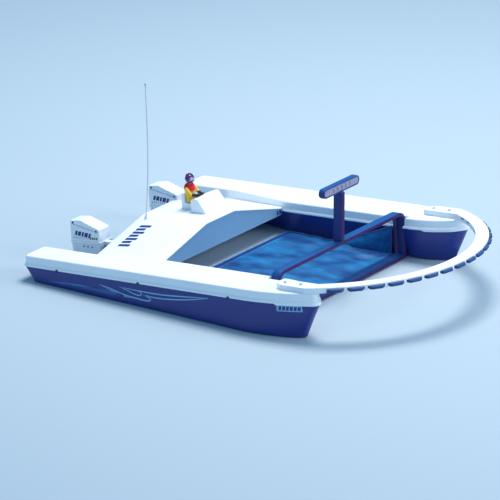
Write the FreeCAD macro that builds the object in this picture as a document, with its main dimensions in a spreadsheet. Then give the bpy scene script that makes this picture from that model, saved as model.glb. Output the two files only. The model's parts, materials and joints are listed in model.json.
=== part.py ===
import FreeCAD, Part
import math
import os

import Sketcher

# Twin-hull radio-controlled pool skimmer boat, in millimetres.
# Everything is drawn in the deck frame: X from the transom to the bow, Y to port, Z square to the deck,
# zero on the joint line between hull and deck at the transom. One trim placement then pitches the
# whole boat bow-up, so that the flat hull bottoms lie on the plane Z = 0.

DOC = FreeCAD.newDocument("rc_boat")
SHEET = DOC.addObject("Spreadsheet::Sheet", "Sheet")
PIECES = []

# ---------------------------------------------------------------- driving dimensions
DIMENSIONS = {
    "trim_angle": 3.8, "stern_depth": 27.4, "centre_x": 370.48,
    "hull_length": 600.0, "half_beam": 281.0, "inner_stern": 215.0, "inner_mid": 192.0,
    "stern_straight": 108.0, "mid_start": 242.0, "mid_end": 500.0, "outer_straight": 465.0,
    "bow_inner_x": 585.0, "bow_inner_y": 217.0, "nose_inner_x": 597.5, "nose_inner_y": 232.0,
    "nose_outer_x": 590.0, "nose_outer_y": 256.0,
    "bow_outer_radius": 330.0, "bow_inner_radius": 160.0, "nose_radius": 14.0,
    "flare": 24.0, "keel_depth": 75.0, "transom_rake": 16.8, "stem_rake": 26.0, "hull_wall": 2.6,
    "deck_height": 18.4, "deck_wall": 2.4,
    "slot_x": 474.1, "slot_length": 20.8, "slot_depth": 205.6,
    "bridge_aft": 92.0, "bridge_front": 229.0, "bridge_top": 43.3, "bridge_flat": 44.0,
    "bridge_slope": 0.245, "bridge_skin": 3.0, "bridge_bottom": -8.0, "bridge_reach": 220.0,
    "net_aft": 475.5, "net_depth": 18.0, "frame_top": 29.4, "frame_half": 204.0,
    "frame_band": 6.5, "frame_corner": 22.0, "rim_side": 11.4, "rim_lip": 5.0, "rim_bottom": 2.5,
    "post_width": 7.0, "grip_height": 128.5, "grip_half": 48.3, "grip_radius": 8.75,
    "grip_depth": 10.6, "bag_tail": 250.0, "bag_shoulder": 345.0, "bag_half": 185.0,
    "bag_skin": 1.6,
    "rail_centre": 464.0, "rail_outer": 281.5, "rail_inner": 258.0, "rail_base": 18.4,
    "rail_plate": 2.4, "rail_wall": 2.2, "pad_aft": 519.0, "pad_inner": 226.0, "pad_outer": 256.0,
    "pad_screw_aft": 532.7, "pad_screw_front": 565.0, "pad_screw_y": 241.0,
    "block_pitch": 7.3, "block_gap": 1.6, "block_count": 16.0, "block_height": 7.2,
    "block_inner": 271.5, "block_outer": 287.5,
    "outboard_y": 121.0, "cowl_aft": -2.0, "cowl_length": 64.0, "cowl_width": 36.0,
    "cowl_rim": 6.0, "cowl_crest": 51.0, "cowl_wall": 2.0, "shaft_level": -11.0, "duct_radius": 12.6,
    "prop_radius": 11.2, "shaft_radius": 1.5, "running_gap": 0.06,
    "motor_radius": 12.0, "motor_length": 27.0,
    "cockpit_y": 17.0, "console_starboard": -5.0, "console_port": 65.0, "seat_height": 12.4,
    "switch_x": 137.0, "switch_y": 27.5, "antenna_x": 108.0, "antenna_y": -58.0, "antenna_length": 245.0,
    "screw_head": 3.4, "screw_shank": 1.4,
}


class Dim:
    """A length that knows its value and the sheet expression that gives it."""

    def __init__(self, value, text):
        self.value = float(value)
        self.text = text

    def _join(self, other, sign, value):
        return Dim(value, "(%s %s %s)" % (self.text, sign, dim(other).text))

    def __add__(self, other):
        return self._join(other, "+", self.value + dim(other).value)

    def __sub__(self, other):
        return self._join(other, "-", self.value - dim(other).value)

    def __mul__(self, other):
        return self._join(other, "*", self.value * dim(other).value)

    def __truediv__(self, other):
        return self._join(other, "/", self.value / dim(other).value)

    def __neg__(self):
        return self * -1

    __radd__ = __add__
    __rmul__ = __mul__

    def __rsub__(self, other):
        return dim(other) - self


def dim(value):
    return value if isinstance(value, Dim) else Dim(value, "(%.6f)" % value)


ZERO = Dim(0, "0")


class Dimensions:
    """The sheet's dimensions by name, each as a Dim."""

    def __init__(self, sheet, table):
        for row, (alias, value) in enumerate(table.items(), start=1):
            sheet.set("A%d" % row, alias)
            sheet.set("B%d" % row, "%g" % value)
            sheet.setAlias("B%d" % row, alias)
            setattr(self, alias, Dim(value, "Sheet.%s" % alias))


D = Dimensions(SHEET, DIMENSIONS)
DOC.recompute()

TRIM = math.radians(D.trim_angle.value)
TRIM_PLACEMENT = FreeCAD.Placement(
    FreeCAD.Vector(-D.centre_x.value, 0, D.stern_depth.value * math.cos(TRIM)),
    FreeCAD.Rotation(FreeCAD.Vector(0, 1, 0), -D.trim_angle.value))
FORWARD = (1, 0, 0)
CLIP_DEPTH = 1.6
STARBOARD, PORT = -1, 1
SIDES = (("starboard", STARBOARD), ("port", PORT))


# ---------------------------------------------------------------- drawing helpers
def bind(obj, name, value):
    obj.setExpression(name, dim(value).text)


def finish(obj, label):
    """Label a finished sub-part and give it the boat's trim."""
    obj.Label = label
    obj.Placement = TRIM_PLACEMENT
    PIECES.append(obj)
    return obj


def origin_plane(body, role):
    return next(f for f in body.Origin.OriginFeatures if f.Role == role)


def sketch_on(body, plane, offset, name):
    """A sketch on one of the body's origin planes, moved along its normal by offset."""
    sketch = body.newObject("Sketcher::SketchObject", name)
    sketch.AttachmentSupport = [(origin_plane(body, plane), "")]
    sketch.MapMode = "FlatFace"
    sketch.AttachmentOffset = FreeCAD.Placement(
        FreeCAD.Vector(0, 0, dim(offset).value), FreeCAD.Rotation())
    bind(sketch, ".AttachmentOffset.Base.z", offset)
    return sketch


def arc_centre(start, end, radius):
    """Centre of the arc from start to end: left of its way for a positive radius, right for a negative."""
    chord = end - start
    middle = (start + end) * 0.5
    rise = math.sqrt(max(radius * radius - chord.Length ** 2 / 4, 0))
    left = FreeCAD.Vector(-chord.y, chord.x, 0).normalize()
    return middle + left * math.copysign(rise, radius)


def outline(sketch, path):
    """Close a path of corners (x, y) or (x, y, radius), where radius bends the edge that leads to it."""
    corners = [FreeCAD.Vector(dim(p[0]).value, dim(p[1]).value, 0) for p in path]
    ends = []
    for index, corner in enumerate(path):
        start, end = corners[index - 1], corners[index]
        if len(corner) == 2:
            edge = sketch.addGeometry(Part.LineSegment(start, end), False)
            ends.append((edge, 1, 2))
            continue
        radius = dim(corner[2]).value
        centre = arc_centre(start, end, radius)
        angles = [math.atan2(p.y - centre.y, p.x - centre.x) for p in (start, end)]
        circle = Part.Circle(centre, FreeCAD.Vector(0, 0, 1), abs(radius))
        if radius > 0:
            edge = sketch.addGeometry(Part.ArcOfCircle(circle, angles[0], angles[1]), False)
            ends.append((edge, 1, 2))
        else:
            edge = sketch.addGeometry(Part.ArcOfCircle(circle, angles[1], angles[0]), False)
            ends.append((edge, 2, 1))
        rule = sketch.addConstraint(Sketcher.Constraint("Radius", edge, abs(radius)))
        bind(sketch, "Constraints[%d]" % rule, corner[2] if radius > 0 else -corner[2])
    for index, (edge, _, last) in enumerate(ends):
        follower, first, _ = ends[(index + 1) % len(ends)]
        sketch.addConstraint(Sketcher.Constraint("Coincident", edge, last, follower, first))
        for kind, value in (("DistanceX", path[index][0]), ("DistanceY", path[index][1])):
            rule = sketch.addConstraint(Sketcher.Constraint(kind, -1, 1, edge, last, dim(value).value))
            bind(sketch, "Constraints[%d]" % rule, value)


def prism(name, plane, offset, path, length):
    """A body padded along its sketch's normal: XY pads up Z, XZ pads along -Y, YZ pads along X."""
    body = DOC.addObject("PartDesign::Body", name)
    sketch = sketch_on(body, plane, offset, name + "_sketch")
    outline(sketch, path)
    pad = body.newObject("PartDesign::Pad", name + "_pad")
    pad.Profile = sketch
    pad.Length = dim(length).value
    bind(pad, "Length", length)
    body.Tip = pad
    return body


def slab(name, y_low, y_high, path):
    """A prism with its side profile in XZ, filling y_low to y_high."""
    return prism(name, "XZ_Plane", -dim(y_high), path, dim(y_high) - y_low)


def loft(name, sections):
    """A body lofted through horizontal outlines, given as (level, path)."""
    body = DOC.addObject("PartDesign::Body", name)
    sketches = []
    for number, (level, path) in enumerate(sections):
        sketch = sketch_on(body, "XY_Plane", level, "%s_section%d" % (name, number))
        outline(sketch, path)
        sketches.append(sketch)
    feature = body.newObject("PartDesign::AdditiveLoft", name + "_loft")
    feature.Profile = sketches[0]
    feature.Sections = sketches[1:]
    feature.Ruled = True
    body.Tip = feature
    return body


def at(x, y, z, axis=(0, 0, 1)):
    """A placement that puts local Z along axis at a point of the deck frame."""
    base = FreeCAD.Vector(dim(x).value, dim(y).value, dim(z).value)
    return FreeCAD.Placement(base, FreeCAD.Rotation(FreeCAD.Vector(0, 0, 1), FreeCAD.Vector(*axis)))


def box(name, x, y, z, size_x, size_y, size_z):
    obj = DOC.addObject("Part::Box", name)
    for key, value in (("Length", size_x), ("Width", size_y), ("Height", size_z)):
        setattr(obj, key, dim(value).value)
        bind(obj, key, value)
    for key, value in zip("xyz", (x, y, z)):
        bind(obj, ".Placement.Base." + key, value)
    return obj


def rod(name, radius, length, place):
    obj = DOC.addObject("Part::Cylinder", name)
    obj.Radius, obj.Height = dim(radius).value, dim(length).value
    bind(obj, "Radius", radius)
    bind(obj, "Height", length)
    obj.Placement = place
    return obj


def cone(name, bottom, top, length, place):
    obj = DOC.addObject("Part::Cone", name)
    for key, value in (("Radius1", bottom), ("Radius2", top), ("Height", length)):
        setattr(obj, key, dim(value).value)
        bind(obj, key, value)
    obj.Placement = place
    return obj


def ball(name, radius, place):
    obj = DOC.addObject("Part::Sphere", name)
    obj.Radius = dim(radius).value
    bind(obj, "Radius", radius)
    obj.Placement = place
    return obj


def cut(name, base, *tools):
    result = base
    for number, tool in enumerate(tools):
        step = DOC.addObject("Part::Cut", "%s_cut%d" % (name, number))
        step.Base, step.Tool = result, tool
        result = step
    return result


def common(name, first, second):
    obj = DOC.addObject("Part::Common", name)
    obj.Base, obj.Tool = first, second
    return obj


def join(name, *shapes):
    obj = DOC.addObject("Part::MultiFuse", name)
    obj.Shapes = list(shapes)
    return obj


def group(name, *shapes):
    """Separate solids that share one node."""
    obj = DOC.addObject("Part::Compound", name)
    obj.Links = list(shapes)
    return obj


# ---------------------------------------------------------------- hulls and decks
def floor_level(x, lift=0.0):
    """Deck-frame height of a point lift above the plane the boat stands on."""
    return -(D.stern_depth.value + (dim(x).value * math.tan(TRIM))) + lift / math.cos(TRIM)


def hull_plan(side, inset, flare):
    """Plan outline of one hull: inset shrinks it all round, flare moves its inner side outboard."""
    inner = flare + inset
    bow = D.stem_rake * 0.35 * (flare.value / D.flare.value)
    return [
        (inset, side * (D.inner_stern + inner)),
        (D.stern_straight, side * (D.inner_stern + inner)),
        (D.mid_start, side * (D.inner_mid + inner)),
        (D.mid_end, side * (D.inner_mid + inner)),
        (D.bow_inner_x - bow, side * (D.bow_inner_y + inner * 0.9), side * D.bow_inner_radius),
        (D.nose_inner_x - bow - inset, side * (D.nose_inner_y + flare * 0.5 + inset * 0.4)),
        (D.nose_outer_x - bow - inset, side * (D.nose_outer_y - inset - flare * 0.25), side * D.nose_radius),
        (D.outer_straight, side * (D.half_beam - inset), side * (D.bow_outer_radius + flare * 4)),
        (inset, side * (D.half_beam - inset)),
    ]


def hull_form(name, side, inset):
    """Flared hull body, trimmed by the side profile with its raked transom, raked stem and flat bottom."""
    form = loft(name + "_form", [
        (ZERO, hull_plan(side, inset, ZERO)),
        (-D.keel_depth, hull_plan(side, inset, D.flare))])
    stem = D.hull_length - inset
    profile = slab(name + "_profile", D.half_beam * -1.1, D.half_beam * 1.1, [
        (inset, ZERO),
        (D.transom_rake + inset, floor_level(D.transom_rake, inset.value)),
        (stem - D.stem_rake, floor_level(D.hull_length - D.stem_rake, inset.value)),
        (stem, ZERO)])
    return common(name, form, profile)


def net_slot(name, side):
    """Upright groove in the inner side of hull and deck, where the net frame slides."""
    width = D.slot_depth - D.inner_mid + 6
    start = D.inner_mid - 6 if side == PORT else -D.slot_depth
    return box(name, D.slot_x, start, -D.keel_depth - 5, D.slot_length, width, D.keel_depth + 30)


def hull(label, side):
    outer = hull_form(label + "_outer", side, ZERO)
    inner = hull_form(label + "_inner", side, D.hull_wall)
    slot = net_slot(label + "_slot", side)
    wall = box(label + "_slot_wall", D.slot_x - D.hull_wall,
               D.inner_mid - 6 if side == PORT else -D.slot_depth - D.hull_wall, -D.keel_depth,
               D.slot_length + 2 * D.hull_wall, D.slot_depth - D.inner_mid + 6 + D.hull_wall, D.keel_depth)
    cavity = cut(label + "_cavity", inner, wall)
    return finish(cut(label, outer, cavity, slot), label)


def deck(label, side):
    """White moulded deck: a cap on the hull with an open underside."""
    cap = prism(label + "_cap", "XY_Plane", 0, hull_plan(side, ZERO, ZERO), D.deck_height)
    hollow = prism(label + "_hollow", "XY_Plane", -1, hull_plan(side, D.deck_wall, ZERO),
                   D.deck_height - D.deck_wall + 1)
    wall = box(label + "_slot_wall", D.slot_x - D.deck_wall,
               D.inner_mid - 6 if side == PORT else -D.slot_depth - D.deck_wall, -2,
               D.slot_length + 2 * D.deck_wall, D.slot_depth - D.inner_mid + 6 + D.deck_wall, D.deck_height)
    space = cut(label + "_space", hollow, wall)
    return finish(cut(label, cap, space, net_slot(label + "_slot", side)), label)


def foam_floats():
    """Foam blocks that keep the hulls afloat, lying on the hulls' bottoms."""
    start, end, lift, width = 60.0, 430.0, 5.0, 26.0
    path = [(start, -4.0), (start, floor_level(start, lift)), (end, floor_level(end, lift)), (end, -4.0)]
    blocks = []
    for name, side in SIDES:
        middle = side * (D.half_beam - 24)
        blocks.append(slab("float_" + name, middle - width / 2, middle + width / 2, path))
    finish(group("floats", *blocks), "foam_floats")


# ---------------------------------------------------------------- bridge
def roof_level(y_distance):
    """Height of the bridge's roof at a distance from the centre line, outboard of its flat."""
    return D.bridge_top - D.bridge_slope * (y_distance - D.bridge_flat)


def roof_line(drop, reach, flat_extra=0.0):
    flat = D.bridge_flat + flat_extra
    end = roof_level(reach) - drop
    return [(-reach, end), (-flat, D.bridge_top - drop), (flat, D.bridge_top - drop), (reach, end)]


def hull_block(name, side):
    """The space taken by one hull and its deck, to trim the bridge's ends."""
    return loft(name, [(ZERO, hull_plan(side, ZERO, ZERO)),
                       (-D.keel_depth, hull_plan(side, ZERO, D.flare))])


def deck_block(name, side):
    return prism(name, "XY_Plane", 0, hull_plan(side, ZERO, ZERO), D.deck_height + 20)


def trimmed(label, base, *tools):
    blocks = [make("%s_%s_%s" % (label, word, name), side)
              for name, side in SIDES for word, make in (("hull", hull_block), ("deck", deck_block))]
    return cut(label, base, *tools, *blocks)


def bridge_cover():
    """White roof of the bridge: two slopes and a flat, with bores for what stands on it."""
    line = roof_line(0, D.bridge_reach)
    under = roof_line(D.bridge_skin, D.bridge_reach)
    skin = prism("cover_skin", "YZ_Plane", D.bridge_aft, line + under[::-1],
                 D.bridge_front - D.bridge_aft + 2)
    antenna = rod("cover_antenna_hole", 2.6, 60, at(D.antenna_x, D.antenna_y, 0))
    switch = box("cover_switch_slot", D.switch_x + 6, D.switch_y + 4, 30, 14, 8, 30)
    return finish(trimmed("bridge_cover", skin, antenna, switch), "bridge_cover")


def bridge_tray():
    """Lower half of the bridge: front face, back wall and floor around the battery bay."""
    top = roof_line(D.bridge_skin, D.bridge_reach)
    length = D.bridge_front - D.bridge_aft - 2
    solid = prism("tray_solid", "YZ_Plane", D.bridge_aft + 2,
                  top + [(D.bridge_reach, D.bridge_bottom), (-D.bridge_reach, D.bridge_bottom)], length)
    room = prism("tray_room", "YZ_Plane", D.bridge_aft + 2 + D.bridge_skin,
                 [(-180, 12), (-D.bridge_flat, 50), (D.bridge_flat, 50), (180, 12),
                  (180, D.bridge_bottom + D.bridge_skin), (-180, D.bridge_bottom + D.bridge_skin)],
                 length - 2 * D.bridge_skin)
    hatch = box("tray_hatch_opening", 128, -32, D.bridge_bottom - 1, 74, 64, 6)
    holes = [box("tray_strut_hole_" + name, D.bridge_aft - 1, side * D.outboard_y - 7, 3.8, 8, 14, 6.4)
             for name, side in SIDES]
    pegs = [rod("board_peg%d" % n, 2, 7.4, at(x, y, -5.4)) for n, (x, y) in
            enumerate(((113, -83), (167, -83), (113, -45), (167, -45)))]
    shell = trimmed("bridge_tray_shell", solid, room, hatch, *holes)
    return finish(join("bridge_tray_join", shell, *pegs), "bridge_tray")


def battery_bay():
    door = box("door_plate", 128.4, -31.6, D.bridge_bottom, 73.2, 63.2, 2.2)
    ribs = [box("door_rib%d" % n, 140 + 16 * n, -26, D.bridge_bottom + 2.2, 2, 52, 1.6) for n in range(4)]
    holes = [rod("door_hole%d" % n, D.screw_shank + 0.3, 6, at(x, y, D.bridge_bottom - 2))
             for n, (x, y) in enumerate(door_screws())]
    finish(cut("door_drilled", join("door", door, *ribs), *holes), "battery_door")
    seal = cut("door_seal", box("seal_block", 124, -36, -4.9, 82, 72, 1.6),
               box("seal_hole", 128, -32, -6, 74, 64, 4))
    finish(seal, "battery_door_seal")
    holder = cut("holder", box("holder_block", 133, -29, -3.2, 64, 58, 13),
                 box("holder_room", 135.4, -27.2, -1.2, 59.2, 54.4, 20))
    finish(holder, "battery_holder")
    cells = [rod("cell%d" % n, 6.6, 50.5, at(139.5, -20.4 + 13.6 * n, 5.6, FORWARD)) for n in range(4)]
    tips = [rod("cell_tip%d" % n, 2.6, 1.2, at(190, -20.4 + 13.6 * n, 5.6, FORWARD)) for n in range(4)]
    finish(group("cells", *[join("cell_whole%d" % n, c, t) for n, (c, t) in enumerate(zip(cells, tips))]),
           "battery_cells")
    springs = [box("contact%d" % n, 136.2, -25.4 + 13.6 * n, 1.0, 2.6, 10, 9) for n in range(4)]
    finish(group("contacts", *springs), "battery_contacts")
    board = box("board_plate", 110, -86, 2, 60, 44, 1.6)
    parts = [box("board_chip", 126, -72, 3.6, 14, 12, 2.4), box("board_driver", 146, -80, 3.6, 16, 9, 5),
             rod("board_coil", 4, 8, at(118, -62, 3.6)), rod("board_cap", 3, 9, at(154, -58, 3.6))]
    finish(join("board", board, *parts), "receiver_board")


def power_switch():
    """Slide switch in the roof, to port of the seat: plate, body below, knob that travels fore and aft."""
    x, y, top = D.switch_x, D.switch_y, D.bridge_top
    plate = cut("switch_plate_cut", box("switch_plate_block", x, y, top, 26, 16, 1.4),
                box("switch_window", x + 7, y + 5, top - 2, 12, 6, 6))
    finish(plate, "switch_plate")
    body = box("switch_body_block", x + 2, y + 2, top - 15, 22, 12, 11)
    finish(group("switch_body_group", body), "switch_body")
    knob = join("knob", box("knob_stem", x + 8, y + 6, top - 3.4, 5, 4, 6),
                box("knob_head", x + 7.6, y + 5.4, top + 1.6, 5.8, 5.2, 3))
    finish(knob, "switch_knob")


# ---------------------------------------------------------------- outboards
def cowl_profile(inset, bottom):
    aft, front = D.cowl_aft + inset, D.cowl_aft + D.cowl_length - inset
    return [(aft, bottom), (front, bottom + 4), (front, D.cowl_crest - 14 - inset),
            (D.cowl_aft + 22, D.cowl_crest - inset), (aft, D.cowl_crest - 3 - inset)]


def cowl(name, y):
    low, high, wall, rim = y - D.cowl_width / 2, y + D.cowl_width / 2, D.cowl_wall, D.cowl_rim
    shell = slab(name + "_cowl_shell", low, high, cowl_profile(0, rim))
    room = slab(name + "_cowl_room", low + wall, high - wall, cowl_profile(wall, rim - 2))
    finish(cut(name + "_cowl", shell, room), name + "_outboard_cowl")


def lower_unit(name, y):
    """Housing under the cowl: a water duct with the gear pod on a strut inside it."""
    aft, level, rim = D.cowl_aft, D.shaft_level, D.cowl_rim
    block = slab(name + "_lower_block", y - D.cowl_width / 2, y + D.cowl_width / 2, [
        (aft + 2, -25.2), (aft + 58, -27.6), (aft + 64, 2), (aft + 64, rim + 4), (aft, rim)])
    duct = rod(name + "_duct", D.duct_radius, 90, at(-12, y, level, FORWARD))
    pod = rod(name + "_pod", 5.2, 26, at(24, y, level, FORWARD))
    fin = box(name + "_fin", 26, y - 1.2, level - 13.2, 16, 2.4, 9)
    strut = box(name + "_strut", 28, y - 4.5, level + 3, 12, 9, 11)
    seat = box(name + "_motor_seat", 22, y - 10, rim - 1, 24, 20, 5.2)
    running = D.shaft_radius + D.running_gap
    rooms = [rod(name + "_gear_room", 4.0, 14, at(29, y, level, FORWARD)),
             rod(name + "_pinion_room", 3.4, 3.6, at(34, y, level + 1.2)),
             rod(name + "_shaft_room", running, 40, at(18, y, level, FORWARD)),
             rod(name + "_drive_room", running, 23, at(34, y, level))]
    core = join(name + "_core", cut(name + "_lower", block, duct), pod, fin, strut, seat)
    finish(cut(name + "_lower_unit_cut", core, *rooms), name + "_lower_unit")


def outboard_bracket(name, y):
    """Arm bolted to the lower unit that reaches through the bridge's back wall to a flange."""
    start, wall = D.cowl_aft + 64, D.bridge_aft + 5
    arm = box(name + "_arm", start, y - 6.5, 4.0, wall - start + 1, 13, 5.8)
    flange = box(name + "_flange", wall + 0.2, y - 12, -4.8, 2.4, 24, 19)
    finish(join(name + "_bracket", arm, flange), name + "_outboard_bracket")


def drive_train(name, side, y):
    """Motor, upright drive shaft with its bevel pinion, and the propeller's axle with its bevel gear."""
    level, seat = D.shaft_level, D.cowl_rim + 4.2
    can = rod(name + "_can", D.motor_radius, D.motor_length, at(34, y, seat))
    finish(cut(name + "_motor_can", can, rod(name + "_can_bore", 3.2, 7.5, at(34, y, seat - 1))),
           name + "_motor")
    drive = rod(name + "_drive_rod", D.shaft_radius, 22, at(34, y, level + 3.6))
    pinion = cone(name + "_pinion", 1.6, 3.0, 1.8, at(34, y, level + 2.2))
    finish(join(name + "_drive", drive, pinion), name + "_drive_shaft")
    axle = rod(name + "_prop_rod", D.shaft_radius, 28, at(3, y, level, FORWARD))
    gear = cone(name + "_gear", 3.6, 2.4, 1.6, at(29.6, y, level, FORWARD))
    finish(join(name + "_prop_axle", axle, gear), name + "_prop_shaft")
    hub = cut(name + "_hub_cut", rod(name + "_hub", 3.6, 10, at(6, y, level, FORWARD)),
              rod(name + "_hub_bore", D.shaft_radius + 0.02, 30, at(0, y, level, FORWARD)))
    blades = [propeller_blade("%s_blade%d" % (name, n), 120 * n, side, y) for n in range(3)]
    finish(join(name + "_prop", hub, *blades), name + "_propeller")
    finish(ring(name + "_nut", 2.8, D.shaft_radius + 0.02, 2.4, at(3.2, y, level, FORWARD)),
           name + "_prop_nut")
    finish(ring(name + "_bush", 4.6, D.shaft_radius + D.running_gap, 2.6, at(21.4, y, level, FORWARD)),
           name + "_shaft_bush")


def ring(name, outer, inner, length, place):
    return cut(name + "_ring", rod(name + "_outside", outer, length, place),
               rod(name + "_inside", inner, length, place))


def outboard(name, side):
    y = side * D.outboard_y
    cowl(name, y)
    lower_unit(name, y)
    outboard_bracket(name, y)
    drive_train(name, side, y)
    grille(name, y)


def propeller_blade(name, angle, side, y):
    """A pitched paddle on the hub, cut from a box turned about its own radial line."""
    blade = DOC.addObject("Part::Box", name)
    blade.Length, blade.Width, blade.Height = 1.4, 8.0, D.prop_radius.value - 3.0
    bind(blade, "Height", D.prop_radius - 3.0)
    twist = FreeCAD.Placement(FreeCAD.Vector(0, 0, 0), FreeCAD.Rotation(FreeCAD.Vector(0, 0, 1), 38 * side))
    centred = FreeCAD.Placement(FreeCAD.Vector(-0.7, -4.0, 3.0), FreeCAD.Rotation())
    spin = FreeCAD.Placement(FreeCAD.Vector(11, y.value, D.shaft_level.value),
                             FreeCAD.Rotation(FreeCAD.Vector(1, 0, 0), angle))
    blade.Placement = spin.multiply(twist.multiply(centred))
    return blade


def grille(name, y):
    """Bars across the duct's inlet that keep leaves and fingers out."""
    start, level, reach = 50.0, D.shaft_level, D.duct_radius - 0.2
    hoop = ring(name + "_hoop", reach, reach - 1.6, 2.4, at(start, y, level, FORWARD))
    bars = []
    for number in range(3):
        offset = 5.4 * (number - 1)
        half = math.sqrt((reach.value - 0.8) ** 2 - offset ** 2)
        bars.append(box("%s_bar%d" % (name, number), start, y + offset - 0.6, level - half,
                        2.4, 1.2, 2 * half))
    finish(join(name + "_grille", hoop, *bars), name + "_inlet_grille")


# ---------------------------------------------------------------- cockpit and driver
def cockpit():
    y, top = D.cockpit_y, D.bridge_top
    aft, front, cushion = 169.0, 203.0, top + D.seat_height - 0.4
    wedge = slab("console_wedge", D.console_starboard, D.console_port, [
        (aft, top), (front, top), (183.5, top + 26), (aft, top + 21.5)])
    foot = prism("console_foot", "YZ_Plane", dim(aft), [
        (D.bridge_flat, top), (D.console_port, roof_level(D.console_port)), (D.console_port, top)], front - aft)
    finish(join("console_join", wedge, foot), "console")
    finish(slab("seat_block", y - 9, y + 9, [
        (139, top), (162, top), (162, cushion), (147, cushion), (145, top + 29), (139, top + 29)]),
        "driver_seat")
    column = rod("wheel_column", 1.4, 7.5, at(181.0, y, top + 25.1, (-0.55, 0, 0.8)))
    ring = DOC.addObject("Part::Torus", "wheel_ring")
    ring.Radius1, ring.Radius2 = 5.4, 1.1
    ring.Placement = at(177.6, y, top + 30, (-0.55, 0, 0.8))
    spoke = box("wheel_spoke_block", -0.9, -5.4, -0.8, 1.8, 10.8, 1.6)
    spokes = group("wheel_spokes", spoke)
    spokes.Placement = at(177.6, y, top + 30, (-0.55, 0, 0.8))
    finish(join("wheel", column, ring, spokes), "steering_wheel")


def driver():
    """Seated toy driver: trunk with legs, vest, arms, gloves, head and helmet."""
    y, seat = D.cockpit_y, D.bridge_top + D.seat_height
    hips = box("driver_hips", 148, y - 7, seat, 13, 14, 8)
    trunk = cone("driver_trunk", 5.4, 8.6, 24, at(154, y, seat + 7))
    legs = [box("driver_leg%d" % n, 160, y + (7.6 * n) - 6.6, seat, 8.4, 5.6, 6) for n in (0, 1)]
    finish(join("driver_lower", hips, trunk, *legs), "driver_body")
    vest = cut("vest_cut", cone("vest_shell", 9.2, 10.4, 13, at(154, y, seat + 20)),
               cone("vest_room", 7.4, 9.0, 11.2, at(154, y, seat + 19.8)))
    finish(vest, "driver_vest")
    for name, side in SIDES:
        shoulder = FreeCAD.Vector(154, y.value + side * 12.6, seat.value + 28)
        elbow = FreeCAD.Vector(163.4, y.value + side * 13.0, seat.value + 18)
        hand = FreeCAD.Vector(173.6, y.value + side * 8.6, seat.value + 18)
        upper = limb("arm_upper_" + name, shoulder, elbow, 2.6)
        lower = limb("arm_lower_" + name, elbow, hand, 2.3)
        finish(join("arm_" + name, upper, lower), "driver_%s_arm" % name)
    neck = rod("driver_neck", 3.2, 5, at(154, y, seat + 33))
    head = ball("driver_skull", 7.0, at(154.6, y, seat + 43))
    finish(join("driver_head_join", neck, head), "driver_head")
    shell = cut("helmet_cut", ball("helmet_ball", 10.6, at(154.2, y, seat + 43.6)),
                ball("helmet_room", 8.0, at(154.6, y, seat + 43)),
                box("helmet_face", 158.5, y - 6.4, seat + 38, 12, 12.8, 8.4),
                rod("helmet_neck", 6.0, 12, at(154, y, seat + 30)))
    finish(shell, "driver_helmet")
    visor = cut("visor_cut", common("visor_piece", ball("visor_ball", 10.2, at(154.2, y, seat + 43.6)),
                                    box("visor_window", 158.7, y - 6.2, seat + 38.2, 12, 12.4, 8.0)),
                ball("visor_room", 8.8, at(154.2, y, seat + 43.6)))
    finish(visor, "driver_visor")


def limb(name, start, end, radius):
    reach = end - start
    bar = DOC.addObject("Part::Cylinder", name)
    bar.Radius, bar.Height = radius, reach.Length
    bar.Placement = FreeCAD.Placement(start, FreeCAD.Rotation(FreeCAD.Vector(0, 0, 1), reach))
    cap = ball(name + "_end", radius, FreeCAD.Placement(end, FreeCAD.Rotation()))
    return join(name + "_limb", bar, cap)


def antenna():
    """Whip that stands upright on a plug, which fills the hole in the roof's starboard slope."""
    x, y = D.antenna_x, D.antenna_y
    foot = roof_level(-y).value
    upright = (math.sin(TRIM), 0, math.cos(TRIM))
    tip_x = x.value + D.antenna_length.value * upright[0]
    tip = foot + 7.25 + D.antenna_length.value * upright[2]
    collar = cone("antenna_collar", 4.4, 2.2, 6, at(x, y, foot + 1.2))
    plug = rod("antenna_plug", 2.4, 9, at(x, y, foot - 7.2))
    finish(join("antenna_base_join", collar, plug), "antenna_base")
    whip = rod("antenna_whip_rod", 0.8, D.antenna_length, at(x, y, foot + 7.25, upright))
    bead = ball("antenna_bead", 1.6, at(tip_x, y, tip))
    finish(join("antenna_join", whip, bead), "antenna_whip")


# ---------------------------------------------------------------- net
def frame_path(outer, top, bottom, corner):
    return [(-outer, bottom), (outer, bottom), (outer, top - corner),
            (outer - corner, top, corner), (-outer + corner, top), (-outer, top - corner, corner)]


def lean(height):
    """How far forward the post has come at a height, for it stands upright when the boat trims bow-up."""
    return (height - D.frame_top) * math.tan(TRIM)


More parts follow.
